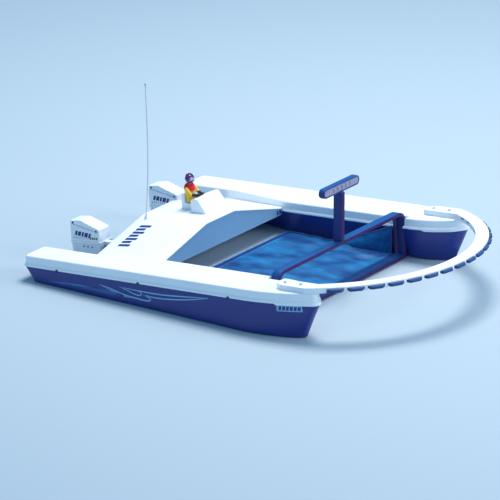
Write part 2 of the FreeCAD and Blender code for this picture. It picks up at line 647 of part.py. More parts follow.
def net_frame():
    """Closed band that drops into the hull grooves, with a leaning post on top and a mouth rim inside."""
    foot = dim(floor_level(D.net_aft, 1.0))
    half, band, top = D.frame_half, D.frame_band, D.frame_top
    inner, corner = half - band, D.frame_corner - band
    front = D.net_aft + D.net_depth
    outline = frame_path(half, top, foot, D.frame_corner)
    outer = prism("frame_outer", "YZ_Plane", D.net_aft, outline, D.net_depth)
    gap = prism("frame_gap", "YZ_Plane", D.net_aft - 1, frame_path(inner, top - band, foot + band, corner),
                D.net_depth + 2)
    crown = D.grip_height - D.grip_radius - 0.05
    post = slab("frame_post", -D.post_width * 0.5, D.post_width * 0.5, [
        (D.net_aft, top - 0.5), (front, top - 0.5), (front + lean(crown), crown),
        (D.net_aft + lean(crown), crown)])
    tongue = box("frame_tongue", grip_middle() - 3.5, -2.6, crown - 4, 7, 5.2, D.grip_radius + 2)
    finish(join("frame", cut("frame_u", outer, gap), post, tongue), "net_frame")
    ring = prism("rim_outer", "YZ_Plane", D.net_aft + 1.5,
                 frame_path(inner - 0.1, top - band - 0.1, foot + band + 0.1, corner), 4)
    hole = prism("rim_hole", "YZ_Plane", D.net_aft,
                 frame_path(inner - D.rim_side, top - band - D.rim_lip, foot + band + D.rim_bottom,
                            corner * 0.5), 8)
    finish(cut("rim", ring, hole), "net_rim")


def grip_middle():
    return D.net_aft + D.net_depth * 0.5 + lean(D.grip_height)


def stadium_path(half, level, radius):
    """Long slot outline whose ends are a little flatter than half circles."""
    bend = radius * 1.02
    return [(-half, level - radius, bend), (half, level - radius),
            (half, level + radius, bend), (-half, level + radius)]


def net_handle():
    """T-shaped grip on the post's tongue, with a pale plate let into its front face."""
    level, radius, half = D.grip_height, D.grip_radius, D.grip_half
    front = grip_middle() + D.grip_depth * 0.5
    aft = grip_middle() - D.grip_depth * 0.5
    inset = radius - 1.9
    stadium, plate_path = stadium_path(half, level, radius), stadium_path(half, level, inset)
    bar = prism("grip_bar", "YZ_Plane", aft, stadium, D.grip_depth)
    recess = prism("grip_recess", "YZ_Plane", front - 1.6, plate_path, 3)
    socket = box("grip_socket", grip_middle() - 3.6, -2.7, level - radius - 1, 7.2, 5.4, radius + 3.1)
    finish(cut("grip", bar, recess, socket), "net_grip")
    finish(prism("grip_plate_pad", "YZ_Plane", front - 1.5, plate_path, 1.2), "net_grip_plate")


def net_bag():
    """Soft trough of mesh that trails aft from the rim, open above and in front."""
    front = D.net_aft + 1.4
    tail, shoulder = D.bag_tail, D.bag_shoulder
    skin, half = D.bag_skin, D.bag_half
    solid = slab("bag_solid", -half, half, [
        (tail, floor_level(tail, 7.5)), (shoulder, floor_level(shoulder, 9.0)),
        (front, 4.0), (front, floor_level(front, 7.9)), (tail, floor_level(tail, 5.0))])
    room = slab("bag_room", -half + skin, half - skin, [
        (tail + skin, 60.0), (front + 5, 60.0), (front + 5, floor_level(front, 9.5)),
        (tail + skin, floor_level(tail, 6.7))])
    finish(cut("bag", solid, room), "net_bag")
    start = at(tail - 2.2, -half, floor_level(tail - 2.2, 7.0), (0, 1, 0))
    rod_y = rod("tail_rod_bar", 2.0, 2 * half, start)
    finish(group("tail_rod", rod_y), "net_tail_rod")


# ---------------------------------------------------------------- bumper
def rail_x(radius, y):
    return D.rail_centre.value + math.sqrt(radius.value ** 2 - y * y)


def bumper():
    """Curved channel rail ahead of the bows, bolted to both decks, with rubber blocks in its outer side."""
    outer_y, inner_y, reach = 250.0, 222.0, 117.2
    outer_x, inner_x = rail_x(D.rail_outer, outer_y), rail_x(D.rail_inner, inner_y)
    edge = [
        (D.pad_aft, -D.pad_outer + 8), (D.pad_aft + 12, -D.pad_outer), (580, -D.pad_outer),
        (outer_x, -outer_y), (outer_x, outer_y, D.rail_outer), (580, D.pad_outer),
        (D.pad_aft + 12, D.pad_outer), (D.pad_aft, D.pad_outer - 8), (D.pad_aft, D.pad_inner),
        (590, D.pad_inner), (inner_x, inner_y), (inner_x, -inner_y, -D.rail_inner),
        (590, -D.pad_inner), (D.pad_aft, -D.pad_inner)]
    plate = prism("rail_plate", "XY_Plane", D.rail_base, edge, D.rail_plate + D.block_height)
    web = D.block_inner.value - 0.6
    pocket = arc_block("rail_pocket", 0, reach, web, 300.0)
    wall = D.rail_wall.value
    hollow = arc_block("rail_hollow", 0, reach, D.rail_inner.value + wall, web - wall)
    holes = [rod("rail_hole%d" % n, D.screw_shank + 0.3, 30, at(x, y, 8))
             for n, (x, y) in enumerate(pad_screws())]
    count, pitch = int(D.block_count.value), D.block_pitch.value
    blocks = [arc_block("block%d" % n, pitch * (n - (count - 1) / 2), pitch - D.block_gap.value,
                        D.block_inner.value, D.block_outer.value) for n in range(count)]
    tabs = [arc_block("tab%d" % n, pitch * (n - count / 2), 1.0, web - 1.0, D.rail_outer.value - 0.6)
            for n in range(count + 1)]
    finish(join("rail", cut("bumper_rail_cut", plate, pocket, hollow, *holes), *tabs), "bumper_rail")
    finish(group("blocks", *blocks), "bumper_blocks")


def arc_block(name, middle, span, inner, outer):
    """A curved block under the rail's top plate, spanning an angle of the rail's circle."""
    centre = D.rail_centre.value
    low, high = math.radians(middle - span / 2), math.radians(middle + span / 2)
    corners = [(centre + radius * math.cos(angle), radius * math.sin(angle))
               for radius, angle in ((outer, low), (outer, high), (inner, high), (inner, low))]
    path = [corners[0], corners[1] + (outer,), corners[2], corners[3] + (-inner,)]
    return prism(name, "XY_Plane", D.rail_base, path, D.block_height)


def pad_screws():
    return [(x, D.pad_screw_y * side) for _, side in SIDES for x in (D.pad_screw_aft, D.pad_screw_front)]


def door_screws():
    return [(x, side * 28) for _, side in SIDES for x in (133, 197)]


# ---------------------------------------------------------------- fasteners and fittings
def screw(name, x, y, z, length, axis=(0, 0, 1)):
    """Cross-head screw whose head sits at the point, shank going against the axis."""
    direction = FreeCAD.Vector(*axis)
    head = rod(name + "_head", D.screw_head, 1.8, at(x, y, z, axis))
    base = FreeCAD.Vector(dim(x).value, dim(y).value, dim(z).value) - direction * length
    shank = rod(name + "_shank", D.screw_shank, length + 0.5, FreeCAD.Placement(base, FreeCAD.Rotation(
        FreeCAD.Vector(0, 0, 1), direction)))
    return join(name, head, shank)


def fittings():
    rail_height = D.rail_plate + D.block_height
    screws = [screw("rail_screw%d" % n, x, y, D.rail_base + rail_height, rail_height.value - 0.1)
              for n, (x, y) in enumerate(pad_screws())]
    screws += [screw("door_screw%d" % n, x, y, D.bridge_bottom, 2.0, (0, 0, -1))
               for n, (x, y) in enumerate(door_screws())]
    finish(group("screws", *screws), "panhead_screws")
    cowl_screws = []
    for name, side in SIDES:
        face = side * D.outboard_y.value + STARBOARD * D.cowl_width.value / 2
        for n, (x, z) in enumerate(((4.0, 44.0), (55.0, 32.0))):
            cowl_screws.append(rod("cowl_screw_%s%d" % (name, n), 2.2, 1.6, at(x, face - 1.6, z, (0, 1, 0))))
    finish(group("cowl_screws_group", *cowl_screws), "cowl_screws")
    clips = []
    for name, side in SIDES:
        for n, x in enumerate((62, 245, 400)):
            inboard = D.half_beam if side == PORT else -D.half_beam - CLIP_DEPTH
            clips.append(box("clip_%s%d" % (name, n), x, inboard, -3.0, 7, CLIP_DEPTH, 6))
    finish(group("clips", *clips), "deck_clips")
    height = floor_level(D.transom_rake)
    level = height * 0.55
    transom_x = D.transom_rake.value * 0.55
    outward = (height, 0, -D.transom_rake.value)
    plugs = [rod("drain_" + name, 5.0, 2.2, at(transom_x, side * 248, level, outward))
             for name, side in SIDES]
    finish(group("drains", *plugs), "drain_plugs")


def build():
    for name, side in SIDES:
        hull(name + "_hull", side)
        deck(name + "_deck", side)
    foam_floats()
    bridge_cover()
    bridge_tray()
    battery_bay()
    power_switch()
    for name, side in SIDES:
        outboard(name, side)
    cockpit()
    driver()
    antenna()
    net_frame()
    net_handle()
    net_bag()
    bumper()
    fittings()
    DOC.recompute()


def check_and_write():
    broken = [obj.Name for obj in DOC.Objects if "Invalid" in obj.State or "Error" in obj.State]
    if broken:
        raise RuntimeError("failed objects: " + ", ".join(broken))
    os.makedirs("parts", exist_ok=True)
    for piece in PIECES:
        if piece.Shape.isNull() or not piece.Shape.isValid():
            raise RuntimeError("bad shape: " + piece.Label)
    for piece in PIECES:
        piece.Shape.exportStep("parts/%s.step" % piece.Label)
        print("%-28s solids %2d  volume %10.1f" % (
            piece.Label, len(piece.Shape.Solids), piece.Shape.Volume))


build()
check_and_write()
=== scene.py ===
import json
import math

import bmesh
import bpy
from mathutils import Matrix, Vector


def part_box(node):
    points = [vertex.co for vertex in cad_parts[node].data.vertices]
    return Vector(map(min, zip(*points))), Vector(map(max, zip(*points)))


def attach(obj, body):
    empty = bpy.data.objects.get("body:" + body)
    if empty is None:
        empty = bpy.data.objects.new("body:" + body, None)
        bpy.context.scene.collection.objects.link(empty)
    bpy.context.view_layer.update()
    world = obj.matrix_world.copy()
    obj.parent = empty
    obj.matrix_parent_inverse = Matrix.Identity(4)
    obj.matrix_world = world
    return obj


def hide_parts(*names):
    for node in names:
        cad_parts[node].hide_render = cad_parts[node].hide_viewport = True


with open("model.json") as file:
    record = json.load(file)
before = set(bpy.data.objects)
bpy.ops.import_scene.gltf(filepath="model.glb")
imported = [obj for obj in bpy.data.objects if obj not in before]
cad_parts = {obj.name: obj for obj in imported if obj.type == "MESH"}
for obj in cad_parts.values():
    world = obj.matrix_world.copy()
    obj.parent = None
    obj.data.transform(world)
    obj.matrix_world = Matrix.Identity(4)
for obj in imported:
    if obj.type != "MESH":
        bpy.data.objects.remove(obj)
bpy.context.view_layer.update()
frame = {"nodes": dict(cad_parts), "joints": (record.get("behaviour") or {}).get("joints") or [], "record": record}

# ---------------------------------------------------------------- the deck frame
# Shapes are drawn in millimetres in the deck frame: X from the transom to the bow, Y to port, and Z square to
# the deck with zero on the joint line. DECK turns that into the row frame, in metres, with the bow-up trim.
LIFT = next(j for j in frame["joints"] if j["name"] == "net_lift")["axis"]
TRIM = math.atan2(-LIFT[0], LIFT[2])
ORIGIN = Vector((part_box("port_hull")[0].x, 0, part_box("port_deck")[0].z))
DECK = Matrix.Translation(ORIGIN) @ Matrix.Rotation(-TRIM, 4, "Y") @ Matrix.Scale(0.001, 4)
SIDES = (("starboard", -1), ("port", 1))
UP, FORWARD, PORTWARD = Vector((0, 0, 1)), Vector((1, 0, 0)), Vector((0, 1, 0))
HELMET_LIFT = UP * 0.3

# Driving dimensions. Most are the CAD source's. The sterns, cowls, post and grip differ by up to 7 mm.
STERN_DEPTH, KEEL_DEPTH = 27.4, 75.0
HALF_BEAM, INNER_STERN, INNER_MID = 281.0, 215.0, 192.0
STERN, STERN_CORNER = -7.0, 12.0
FLARE, TRANSOM_RAKE, STEM_RAKE = 24.0, 16.8, 26.0
BOW_LIP_START, BOW_LIP_DROP = 532.0, 2.4
DECK_HEIGHT, DECK_WALL, HULL_WALL = 18.4, 2.4, 2.6
GROOVE_AFT, GROOVE_FRONT, GROOVE_DEPTH = 474.1, 494.9, 205.6
BRIDGE_AFT, BRIDGE_FRONT, BRIDGE_BOTTOM = 92.0, 231.0, -8.0
BRIDGE_TOP, BRIDGE_FLAT, BRIDGE_SLOPE, BRIDGE_SKIN = 43.3, 44.0, 0.245, 3.0
OUTBOARD_Y, COWL_SHIFT, COWL_AFT, COWL_FRONT, COWL_HALF = 121.0, -2.5, -3.5, 60.5, 16.4
SHAFT_LEVEL, COCKPIT_Y, SEAT_TOP = -11.0, 17.0, 55.7
CONSOLE_STARBOARD, CONSOLE_PORT = -5.0, 65.0
NET_AFT, NET_FRONT, FRAME_TOP, FRAME_HALF = 475.5, 493.5, 29.4, 204.0
FRAME_BAND, FRAME_CORNER, RIM_SIDE, RIM_LIP, RIM_BOTTOM = 6.5, 22.0, 11.4, 5.0, 2.5
POST_SHIFT, POST_HALF = -1.2, 4.7
GRIP_LEVEL, GRIP_HALF, GRIP_RADIUS, GRIP_DEPTH = 128.5, 48.3, 8.75, 13.4
BAG_TAIL, BAG_SHOULDER, BAG_HALF = 250.0, 345.0, 185.0
# The sheet is declared this much wider than the bag's floor. Its two side walls need only about 34.
SHEET_EXTRA = 68.0
RAIL_CENTRE, RAIL_INNER = 464.0, 258.0
RAIL_BASE, RAIL_TOP, BLOCK_PITCH, BLOCK_COUNT = 18.4, 28.0, 7.3, 16


def floor_level(x, lift=0.0):
    """Deck-frame height of a point that is lift above the plane the boat stands on."""
    return -(STERN_DEPTH + x * math.tan(TRIM)) + lift / math.cos(TRIM)


def roof_level(y):
    """Height of the bridge's roof at a distance from the middle."""
    return BRIDGE_TOP - BRIDGE_SLOPE * max(0.0, abs(y) - BRIDGE_FLAT)


def lean(height):
    """How far forward the net's post has come at a height, because it stands upright on the trimmed boat."""
    return (height - FRAME_TOP) * math.tan(TRIM)


# ---------------------------------------------------------------- materials
def linear(red, green, blue):
    """A colour given as 0 to 255 screen values, as the shader wants it."""
    shares = [c / 255 for c in (red, green, blue)]
    return [c / 12.92 if c < 0.04045 else ((c + 0.055) / 1.055) ** 2.4 for c in shares] + [1.0]


class Graph:
    """A material's node tree, with one line for each node."""

    def __init__(self, name):
        self.material = bpy.data.materials.new(name)
        self.material.use_nodes = True
        self.tree = self.material.node_tree
        self.shader = self.tree.nodes["Principled BSDF"]
        self.place = self.node("TexCoord").outputs["Object"]

    def node(self, kind, settings=(), **inputs):
        made = self.tree.nodes.new("ShaderNode" + kind)
        for key, value in dict(settings).items():
            setattr(made, key, value)
        for key, value in inputs.items():
            self.feed(made.inputs[key.replace("_", " ")], value)
        return made

    def feed(self, socket, value):
        if isinstance(value, bpy.types.NodeSocket):
            self.tree.links.new(value, socket)
        else:
            socket.default_value = value

    def noise(self, scale, detail=3.0, stretch=(1, 1, 1)):
        """Noise with features of about 1/scale metres."""
        spot = self.node("Mapping", Vector=self.place, Scale=stretch).outputs[0]
        return self.node("TexNoise", Vector=spot, Scale=float(scale), Detail=detail).outputs["Fac"]

    def ramp(self, fac, low, high, start=0.0, end=1.0):
        """fac from start to end becomes low to high, as numbers or as colours."""
        if isinstance(low, (int, float)):
            made = self.node("MapRange", Value=fac, From_Min=start, From_Max=end, To_Min=low, To_Max=high)
            return made.outputs[0]
        made = self.node("MapRange", Value=fac, From_Min=start, From_Max=end)
        return self.mix(made.outputs[0], low, high)

    def mix(self, fac, low, high):
        made = self.node("Mix", {"data_type": "RGBA"})
        for index, value in ((0, fac), (6, low), (7, high)):
            self.feed(made.inputs[index], value)
        return made.outputs[2]

    def maths(self, operation, first, second=0.0):
        made = self.node("Math", {"operation": operation})
        self.feed(made.inputs[0], first)
        self.feed(made.inputs[1], second)
        return made.outputs[0]

    def bump(self, height, strength, distance, normal=None):
        made = self.node("Bump", Height=height, Strength=strength, Distance=distance)
        if normal is not None:
            self.feed(made.inputs["Normal"], normal)
        return made.outputs[0]

    def set(self, **inputs):
        for key, value in inputs.items():
            self.feed(self.shader.inputs[key.replace("_", " ")], value)


def shade(colour, amount):
    return [c * amount for c in colour[:3]] + [1.0]


def plastic(name, colour, roughness=0.34, coat=0.0, mottle=0.06, grain=0.12, scratch=0.25, faded_and_sky_lit=None,
            shine=0.5):
    """Moulded plastic: cloudy tint, fine grain, hairline scratches, and, where asked, a painted sky highlight: a
    lighter colour on faces that point up.
    """
    graph = Graph(name)
    base = linear(*colour)
    cloud = graph.noise(14, 4)
    tint = graph.ramp(cloud, shade(base, 1 - mottle), shade(base, 1 + mottle), 0.3, 0.7)
    # Painted highlight: faces that point up blend to a lighter colour that stands in for the sky's light and
    # reflection on the top.
    if faded_and_sky_lit:
        up = graph.node("SeparateXYZ", Vector=graph.node("NewGeometry").outputs["Normal"]).outputs[2]
        tint = graph.mix(graph.ramp(up, 0.0, 1.0, 0.3, 0.75), tint, linear(*faded_and_sky_lit))
    hair = graph.noise(60, 2, (1, 14, 14))
    line = graph.ramp(hair, 0.0, 1.0, 0.66, 0.72)
    fine = graph.noise(1500, 2)
    dull = graph.ramp(graph.noise(35, 5), roughness * 0.82, roughness * 1.22, 0.3, 0.7)
    rough = graph.maths("ADD", dull, graph.maths("MULTIPLY", line, scratch * 0.3))
    skin = graph.bump(fine, grain, 0.0001)
    scuffed_and_mottled = graph.bump(line, scratch * 0.3, 0.00005, skin)
    graph.set(Base_Color=tint, Roughness=rough, Normal=scuffed_and_mottled, Coat_Weight=coat, Coat_Roughness=0.12,
              Specular_IOR_Level=shine)
    return graph.material


def rubber(name, colour):
    """Soft rubber: matt, pitted, with patches of dust."""
    graph = Graph(name)
    base = linear(*colour)
    pits = graph.noise(900, 4)
    dust = graph.ramp(graph.noise(45, 5), base, shade(base, 1.3), 0.45, 0.8)
    graph.set(Base_Color=dust, Roughness=graph.ramp(pits, 0.55, 0.8), Normal=graph.bump(pits, 0.35, 0.0002))
    return graph.material


def metal(name, colour, roughness=0.3):
    """Turned or drawn metal, with fine lines along X."""
    graph = Graph(name)
    base = linear(*colour)
    lines = graph.noise(500, 3, (0.08, 1, 1))
    stain = graph.ramp(graph.noise(70, 4), shade(base, 0.82), base, 0.3, 0.65)
    graph.set(Base_Color=stain, Metallic=1.0, Roughness=graph.ramp(lines, roughness * 0.7, roughness * 1.4),
              Normal=graph.bump(lines, 0.2, 0.00005))
    return graph.material


def cloth(name, colour, thread=0.0007, sheen=0.25):
    """Woven toy cloth: crossing threads, a soft sheen and patches of faded tone."""
    graph = Graph(name)
    base = linear(*colour)
    rows = [graph.node("TexWave", {"bands_direction": way}, Vector=graph.place, Scale=0.16 / thread,
                       Distortion=0.6).outputs["Fac"] for way in ("Y", "Z")]
    weave = graph.maths("MULTIPLY", *rows)
    faded_and_sky_lit = graph.ramp(graph.noise(120, 4), shade(base, 0.8), shade(base, 1.12), 0.3, 0.7)
    graph.set(Base_Color=graph.mix(graph.ramp(weave, 0.0, 0.35), faded_and_sky_lit, shade(base, 0.6)), Roughness=0.78,
              Sheen_Weight=sheen, Specular_IOR_Level=0.3, Normal=graph.bump(weave, 0.35, 0.0002))
    return graph.material


def netting(name, deep, bright, cell=0.0021, gap=0.40):
    """Knitted pool netting: see-through square cells between rounded threads."""
    graph = Graph(name)
    parts = graph.node("SeparateXYZ", Vector=graph.place).outputs
    holes = []
    for axis in (0, 1):
        across = graph.maths("FRACT", graph.maths("MULTIPLY", parts[axis], 1 / cell))
        holes.append(graph.maths("ABSOLUTE", graph.maths("SUBTRACT", across, 0.5)))
    widest = graph.maths("MAXIMUM", *holes)
    open_share = graph.ramp(widest, 1.0, 0.0, gap * 0.82, gap * 0.98)
    # The netting's colour varies at random between a deep and a bright blue, in elongated patches.
    scuffed_and_mottled = graph.ramp(graph.noise(13, 6, (1.0, 2.2, 1.0)), linear(*deep), linear(*bright), 0.36, 0.68)
    graph.set(Base_Color=scuffed_and_mottled, Roughness=0.5, Specular_IOR_Level=0.2,
              Alpha=graph.ramp(open_share, 1.0, 0.86), Normal=graph.bump(widest, 0.5, 0.0004))
    return graph.material


def clear(name, colour, alpha):
    """Tinted clear plastic with a scuffed gloss."""
    graph = Graph(name)
    graph.set(Base_Color=linear(*colour), Roughness=graph.ramp(graph.noise(260, 4), 0.04, 0.16), Alpha=alpha,
              Coat_Weight=0.6, Coat_Roughness=0.05)
    return graph.material


def foam(name, colour):
    """Closed-cell foam: round cells that show as shallow dimples."""
    graph = Graph(name)
    base = linear(*colour)
    cells = graph.node("TexVoronoi", Vector=graph.place, Scale=420.0).outputs["Distance"]
    graph.set(Base_Color=graph.ramp(cells, shade(base, 0.86), base, 0.1, 0.6), Roughness=0.9,
              Normal=graph.bump(cells, 0.5, 0.0004))
    return graph.material


def circuit_board(name, colour):
    """Solder-masked board with copper tracks that run along and across it."""
    graph = Graph(name)
    base = linear(*colour)
    tracks = [graph.node("TexWave", {"bands_direction": way}, Vector=graph.place, Scale=55.0,
                         Distortion=3.0).outputs["Fac"] for way in ("X", "Y")]
    lit = graph.ramp(graph.maths("MAXIMUM", *tracks), 0.0, 1.0, 0.9, 0.94)
    graph.set(Base_Color=graph.mix(lit, base, shade(base, 1.9)), Roughness=0.35, Coat_Weight=0.4,
              Normal=graph.bump(lit, 0.2, 0.0001))
    return graph.material


def wrapped_cell(name, body, band):
    """Battery sleeve: a dark body with a brighter band round the positive end."""
    graph = Graph(name)
    parts = graph.node("SeparateXYZ", Vector=graph.place).outputs
    end = (DECK @ Vector((178, 0, 5))).x
    here = graph.ramp(parts[0], 0.0, 1.0, end - 0.0003, end + 0.0003)
    graph.set(Base_Color=graph.mix(here, linear(*body), linear(*band)), Metallic=0.35, Coat_Weight=0.5,
              Roughness=graph.ramp(graph.noise(200, 3), 0.2, 0.35))
    return graph.material


MATERIALS = {
    "hull_blue": plastic("hull_blue", (26, 46, 126), 0.34, coat=0.12, mottle=0.02, scratch=0.06),
    "deck_white": plastic("deck_white", (240, 243, 247), 0.36, mottle=0.02, scratch=0.4),
    "housing_white": plastic("housing_white", (222, 230, 238), 0.4, mottle=0.03),
    # tray_blue is painted shade: a pale blue that stands for white plastic in shade on the fascia and the tray
    # under the bridge.
    "tray_blue": plastic("tray_blue", (128, 168, 200), 0.42, mottle=0.03),
    # frame_blue's navy is the plastic's own colour; its up-facing faces get a painted sky-blue highlight.
    "frame_blue": plastic("frame_blue", (56, 64, 124), 0.5, mottle=0.03, faded_and_sky_lit=(0, 76, 142), shine=0.2),
    "rim_purple": plastic("rim_purple", (54, 44, 100), 0.5, shine=0.3),
    "plate_grey": plastic("plate_grey", (150, 142, 166), 0.4),
    "net_mesh": netting("net_mesh", (4, 62, 124), (30, 124, 182)),
    "rod_blue": plastic("rod_blue", (34, 70, 140), 0.4),
    "bumper_rubber": rubber("bumper_rubber", (12, 62, 118)),
    "black_plastic": plastic("black_plastic", (26, 27, 30), 0.4),
    "seal_rubber": rubber("seal_rubber", (40, 42, 46)),
    "foam_white": foam("foam_white", (236, 236, 230)),
    "steel": metal("steel", (196, 198, 202)),
    "brass": metal("brass", (206, 170, 96), 0.26),
    "cell_wrap": wrapped_cell("cell_wrap", (34, 36, 42), (196, 122, 52)),
    "board_green": circuit_board("board_green", (22, 84, 50)),
    "propeller_blue": plastic("propeller_blue", (40, 62, 140), 0.3),
    "suit_yellow": cloth("suit_yellow", (246, 204, 66)),
    "vest_red": cloth("vest_red", (236, 18, 36), 0.0009),
    "skin_tone": plastic("skin_tone", (224, 178, 146), 0.5, mottle=0.03),
    "helmet_purple": plastic("helmet_purple", (86, 18, 108), 0.22, coat=0.4),
    "visor_clear": clear("visor_clear", (186, 200, 226), 0.72),
}
GRAPHIC_PALE = plastic("graphic_pale", (126, 178, 216), 0.3)
GRAPHIC_DARK = plastic("graphic_dark", (24, 50, 128), 0.3)
HEM_BLUE = cloth("hem_blue", (16, 62, 132), 0.0012, 0.05)
TAPE_BLUE = cloth("tape_blue", (6, 66, 128), 0.0012, 0.0)
STREAK_BLUE = plastic("streak_blue", (28, 92, 162), 0.34)
# FRONT_SHADE_PURPLE is painted shade: the dark purple that the band's and post's front faces show in shade.
FRONT_SHADE_PURPLE = plastic("front_shade_purple", (54, 30, 90), 0.5, shine=0.2)
SCREW_DARK = metal("screw_dark", (84, 84, 90), 0.34)
GRIP_MARKS = plastic("grip_marks", (74, 64, 104), 0.4)
SLOTS = {row["node"]: row["material_slot"] for row in frame["record"]["subparts"]}


# ---------------------------------------------------------------- shape helpers
def turns(count):
    """Angles of even steps round a full turn."""
    return [2 * math.pi * k / count for k in range(count)]


class Shape:
    """Points and faces gathered in the deck frame, in millimetres."""

    def __init__(self):
        self.points, self.faces = [], []

    def add(self, points, faces):
        start = len(self.points)
        self.points += [Vector(p) for p in points]
        self.faces += [[start + i for i in face] for face in faces]
        return self

    def rings(self, rings, first_cap=True, last_cap=True, closed=True, joined=False):
        """Skin between rings of equal counts.

        closed joins each ring's ends, and joined joins the last ring to the first.
        """
        count, faces = len(rings[0]), []
        for level in range(len(rings) if joined else len(rings) - 1):
            here, above = level * count, (level + 1) % len(rings) * count
            for i in range(count if closed else count - 1):
                j = (i + 1) % count
                faces.append([here + i, here + j, above + j, above + i])
        if not joined and first_cap:
            faces.append(list(reversed(range(count))))
        if not joined and last_cap:
            faces.append([(len(rings) - 1) * count + i for i in range(count)])
        return self.add([p for ring in rings for p in ring], faces)

    def plate(self, outline, low, high, view="xy"):
        """A flat outline given thickness: view says which plane it is drawn in."""
        place = {"xy": lambda u, v, w: (u, v, w), "xz": lambda u, v, w: (u, w, v),
                 "yz": lambda u, v, w: (w, u, v)}[view]
        return self.rings([[place(u, v, w) for u, v in outline] for w in (low, high)])

    def box(self, low, high):
        return self.plate([(low[0], low[1]), (high[0], low[1]), (high[0], high[1]), (low[0], high[1])],
                          low[2], high[2])

    def lathe(self, profile, base, axis, steps=32, caps=True):
        """A profile of (radius, height) turned about an axis through base."""
        axis = Vector(axis).normalized()
        side = axis.orthogonal().normalized()
        other = axis.cross(side)
        rings = []
        for radius, height in profile:
            level = Vector(base) + axis * height
            rings.append([level + side * (radius * math.cos(a)) + other * (radius * math.sin(a))
                          for a in turns(steps)])
        return self.rings(rings, caps, caps)

    def tube(self, path, radii, steps=16, caps=True, squash=1.0):
        """A round tube along a path, with one radius or one for each point."""
        path = [Vector(p) for p in path]
        radii = radii if isinstance(radii, (list, tuple)) else [radii] * len(path)
        side = (path[1] - path[0]).orthogonal().normalized()
        rings = []
        for i, (point, radius) in enumerate(zip(path, radii)):
            ahead = (path[min(i + 1, len(path) - 1)] - path[max(i - 1, 0)]).normalized()
            side = (side - ahead * side.dot(ahead)).normalized()
            other = ahead.cross(side)
            rings.append([point + side * (radius * math.cos(a)) + other * (radius * squash * math.sin(a))
                          for a in turns(steps)])
        return self.rings(rings, caps, caps)


def arc(centre, radius, start, end, steps):
    """Points of a flat arc, in degrees, both ends included."""
    angles = [math.radians(start + (end - start) * i / steps) for i in range(steps + 1)]
    return [(centre[0] + radius * math.cos(a), centre[1] + radius * math.sin(a)) for a in angles]


def bulge(start, end, radius, steps):
    """Points after start of an arc to end that bends left, for an outline that goes anticlockwise."""
    a, b = Vector(start), Vector(end)
    chord = b - a
    rise = math.sqrt(max(radius * radius - chord.length_squared / 4, 0))
    centre = (a + b) / 2 + Vector((-chord.y, chord.x)).normalized() * rise
    first, last = (math.atan2(*reversed((p - centre)[:])) for p in (a, b))
    if last < first:
        last += 2 * math.pi
    return arc(centre, radius, math.degrees(first), math.degrees(last), steps)[1:]


def fillet(points, radii, steps=5):
    """An outline with rounded corners: one radius for all, or one for each point."""
    radii = radii if isinstance(radii, (list, tuple)) else [radii] * len(points)
    made = []
    for i, radius in enumerate(radii):
        before, here, after = (Vector(points[k % len(points)]) for k in (i - 1, i, i + 1))
        back, on = (before - here), (after - here)
        if radius <= 0:
            made.append(tuple(here))
            continue
        half = back.angle(on) / 2
        reach = min(radius / math.tan(half), back.length * 0.49, on.length * 0.49)
        first, last = here + back.normalized() * reach, here + on.normalized() * reach
        for k in range(steps + 1):
            share = k / steps
            made.append(tuple(first * (1 - share) ** 2 + here * 2 * share * (1 - share) + last * share ** 2))
    return made


def offset(outline, distance):
    """An anticlockwise outline moved inward, its corners mitred."""
    moved = []
    for i, point in enumerate(outline):
        before, here, after = Vector(outline[i - 1]), Vector(point), Vector(outline[(i + 1) % len(outline)])
        normals = [Vector((-(b - a).y, (b - a).x)).normalized() for a, b in ((before, here), (here, after))]
        both = normals[0] + normals[1]
        share = max(both.length_squared / 2, 0.3)
        moved.append(tuple(here + both * (distance / share)))
    return moved


def rounded(corners, radii, inset=0.0, steps=5):
    """Corners moved inward by inset, then rounded by radii that shrink with them."""
    radii = radii if isinstance(radii, (list, tuple)) else [radii] * len(corners)
    return fillet(offset(corners, inset), [max(r - inset, 0.15) if r > 0 else 0 for r in radii], steps)


def make(name, shape, material, body="boat", nodes=(), bevel=0.0, segments=2, smooth=35, subdivide=0):
    """One piece from a shape: welded, normals outward, smooth but for sharp edges, riding on a body."""
    mesh = bpy.data.meshes.new(name)
    mesh.from_pydata([DECK @ p for p in shape.points], [], shape.faces)
    form = bmesh.new()
    form.from_mesh(mesh)
    bmesh.ops.remove_doubles(form, verts=form.verts, dist=2e-6)
    bmesh.ops.dissolve_degenerate(form, dist=1e-6, edges=form.edges)
    bmesh.ops.recalc_face_normals(form, faces=form.faces)
    form.to_mesh(mesh)
    form.free()
    mesh.polygons.foreach_set("use_smooth", [True] * len(mesh.polygons))
    mesh.set_sharp_from_angle(angle=math.radians(smooth))
    piece = bpy.data.objects.new(name, mesh)
    bpy.context.scene.collection.objects.link(piece)
    finish(piece, material, bevel, segments, smooth, subdivide)
    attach(piece, body)
    if nodes:
        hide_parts(*nodes)
    return piece


def finish(piece, material, bevel=0.0, segments=2, smooth=35, subdivide=0):
    """Material, rounded edges and even shading for a piece or a kept CAD node."""
    piece.data.materials.clear()
    piece.data.materials.append(MATERIALS[material] if isinstance(material, str) else material)
    if bevel:
        edges = piece.modifiers.new("edges", "BEVEL")
        edges.width, edges.segments, edges.limit_method = bevel * 0.001, segments, "ANGLE"
        edges.angle_limit, edges.use_clamp_overlap = math.radians(smooth), True
        even = piece.modifiers.new("even", "WEIGHTED_NORMAL")
        even.keep_sharp = True
    if subdivide:
        finer = piece.modifiers.new("finer", "SUBSURF")
        finer.levels = finer.render_levels = subdivide


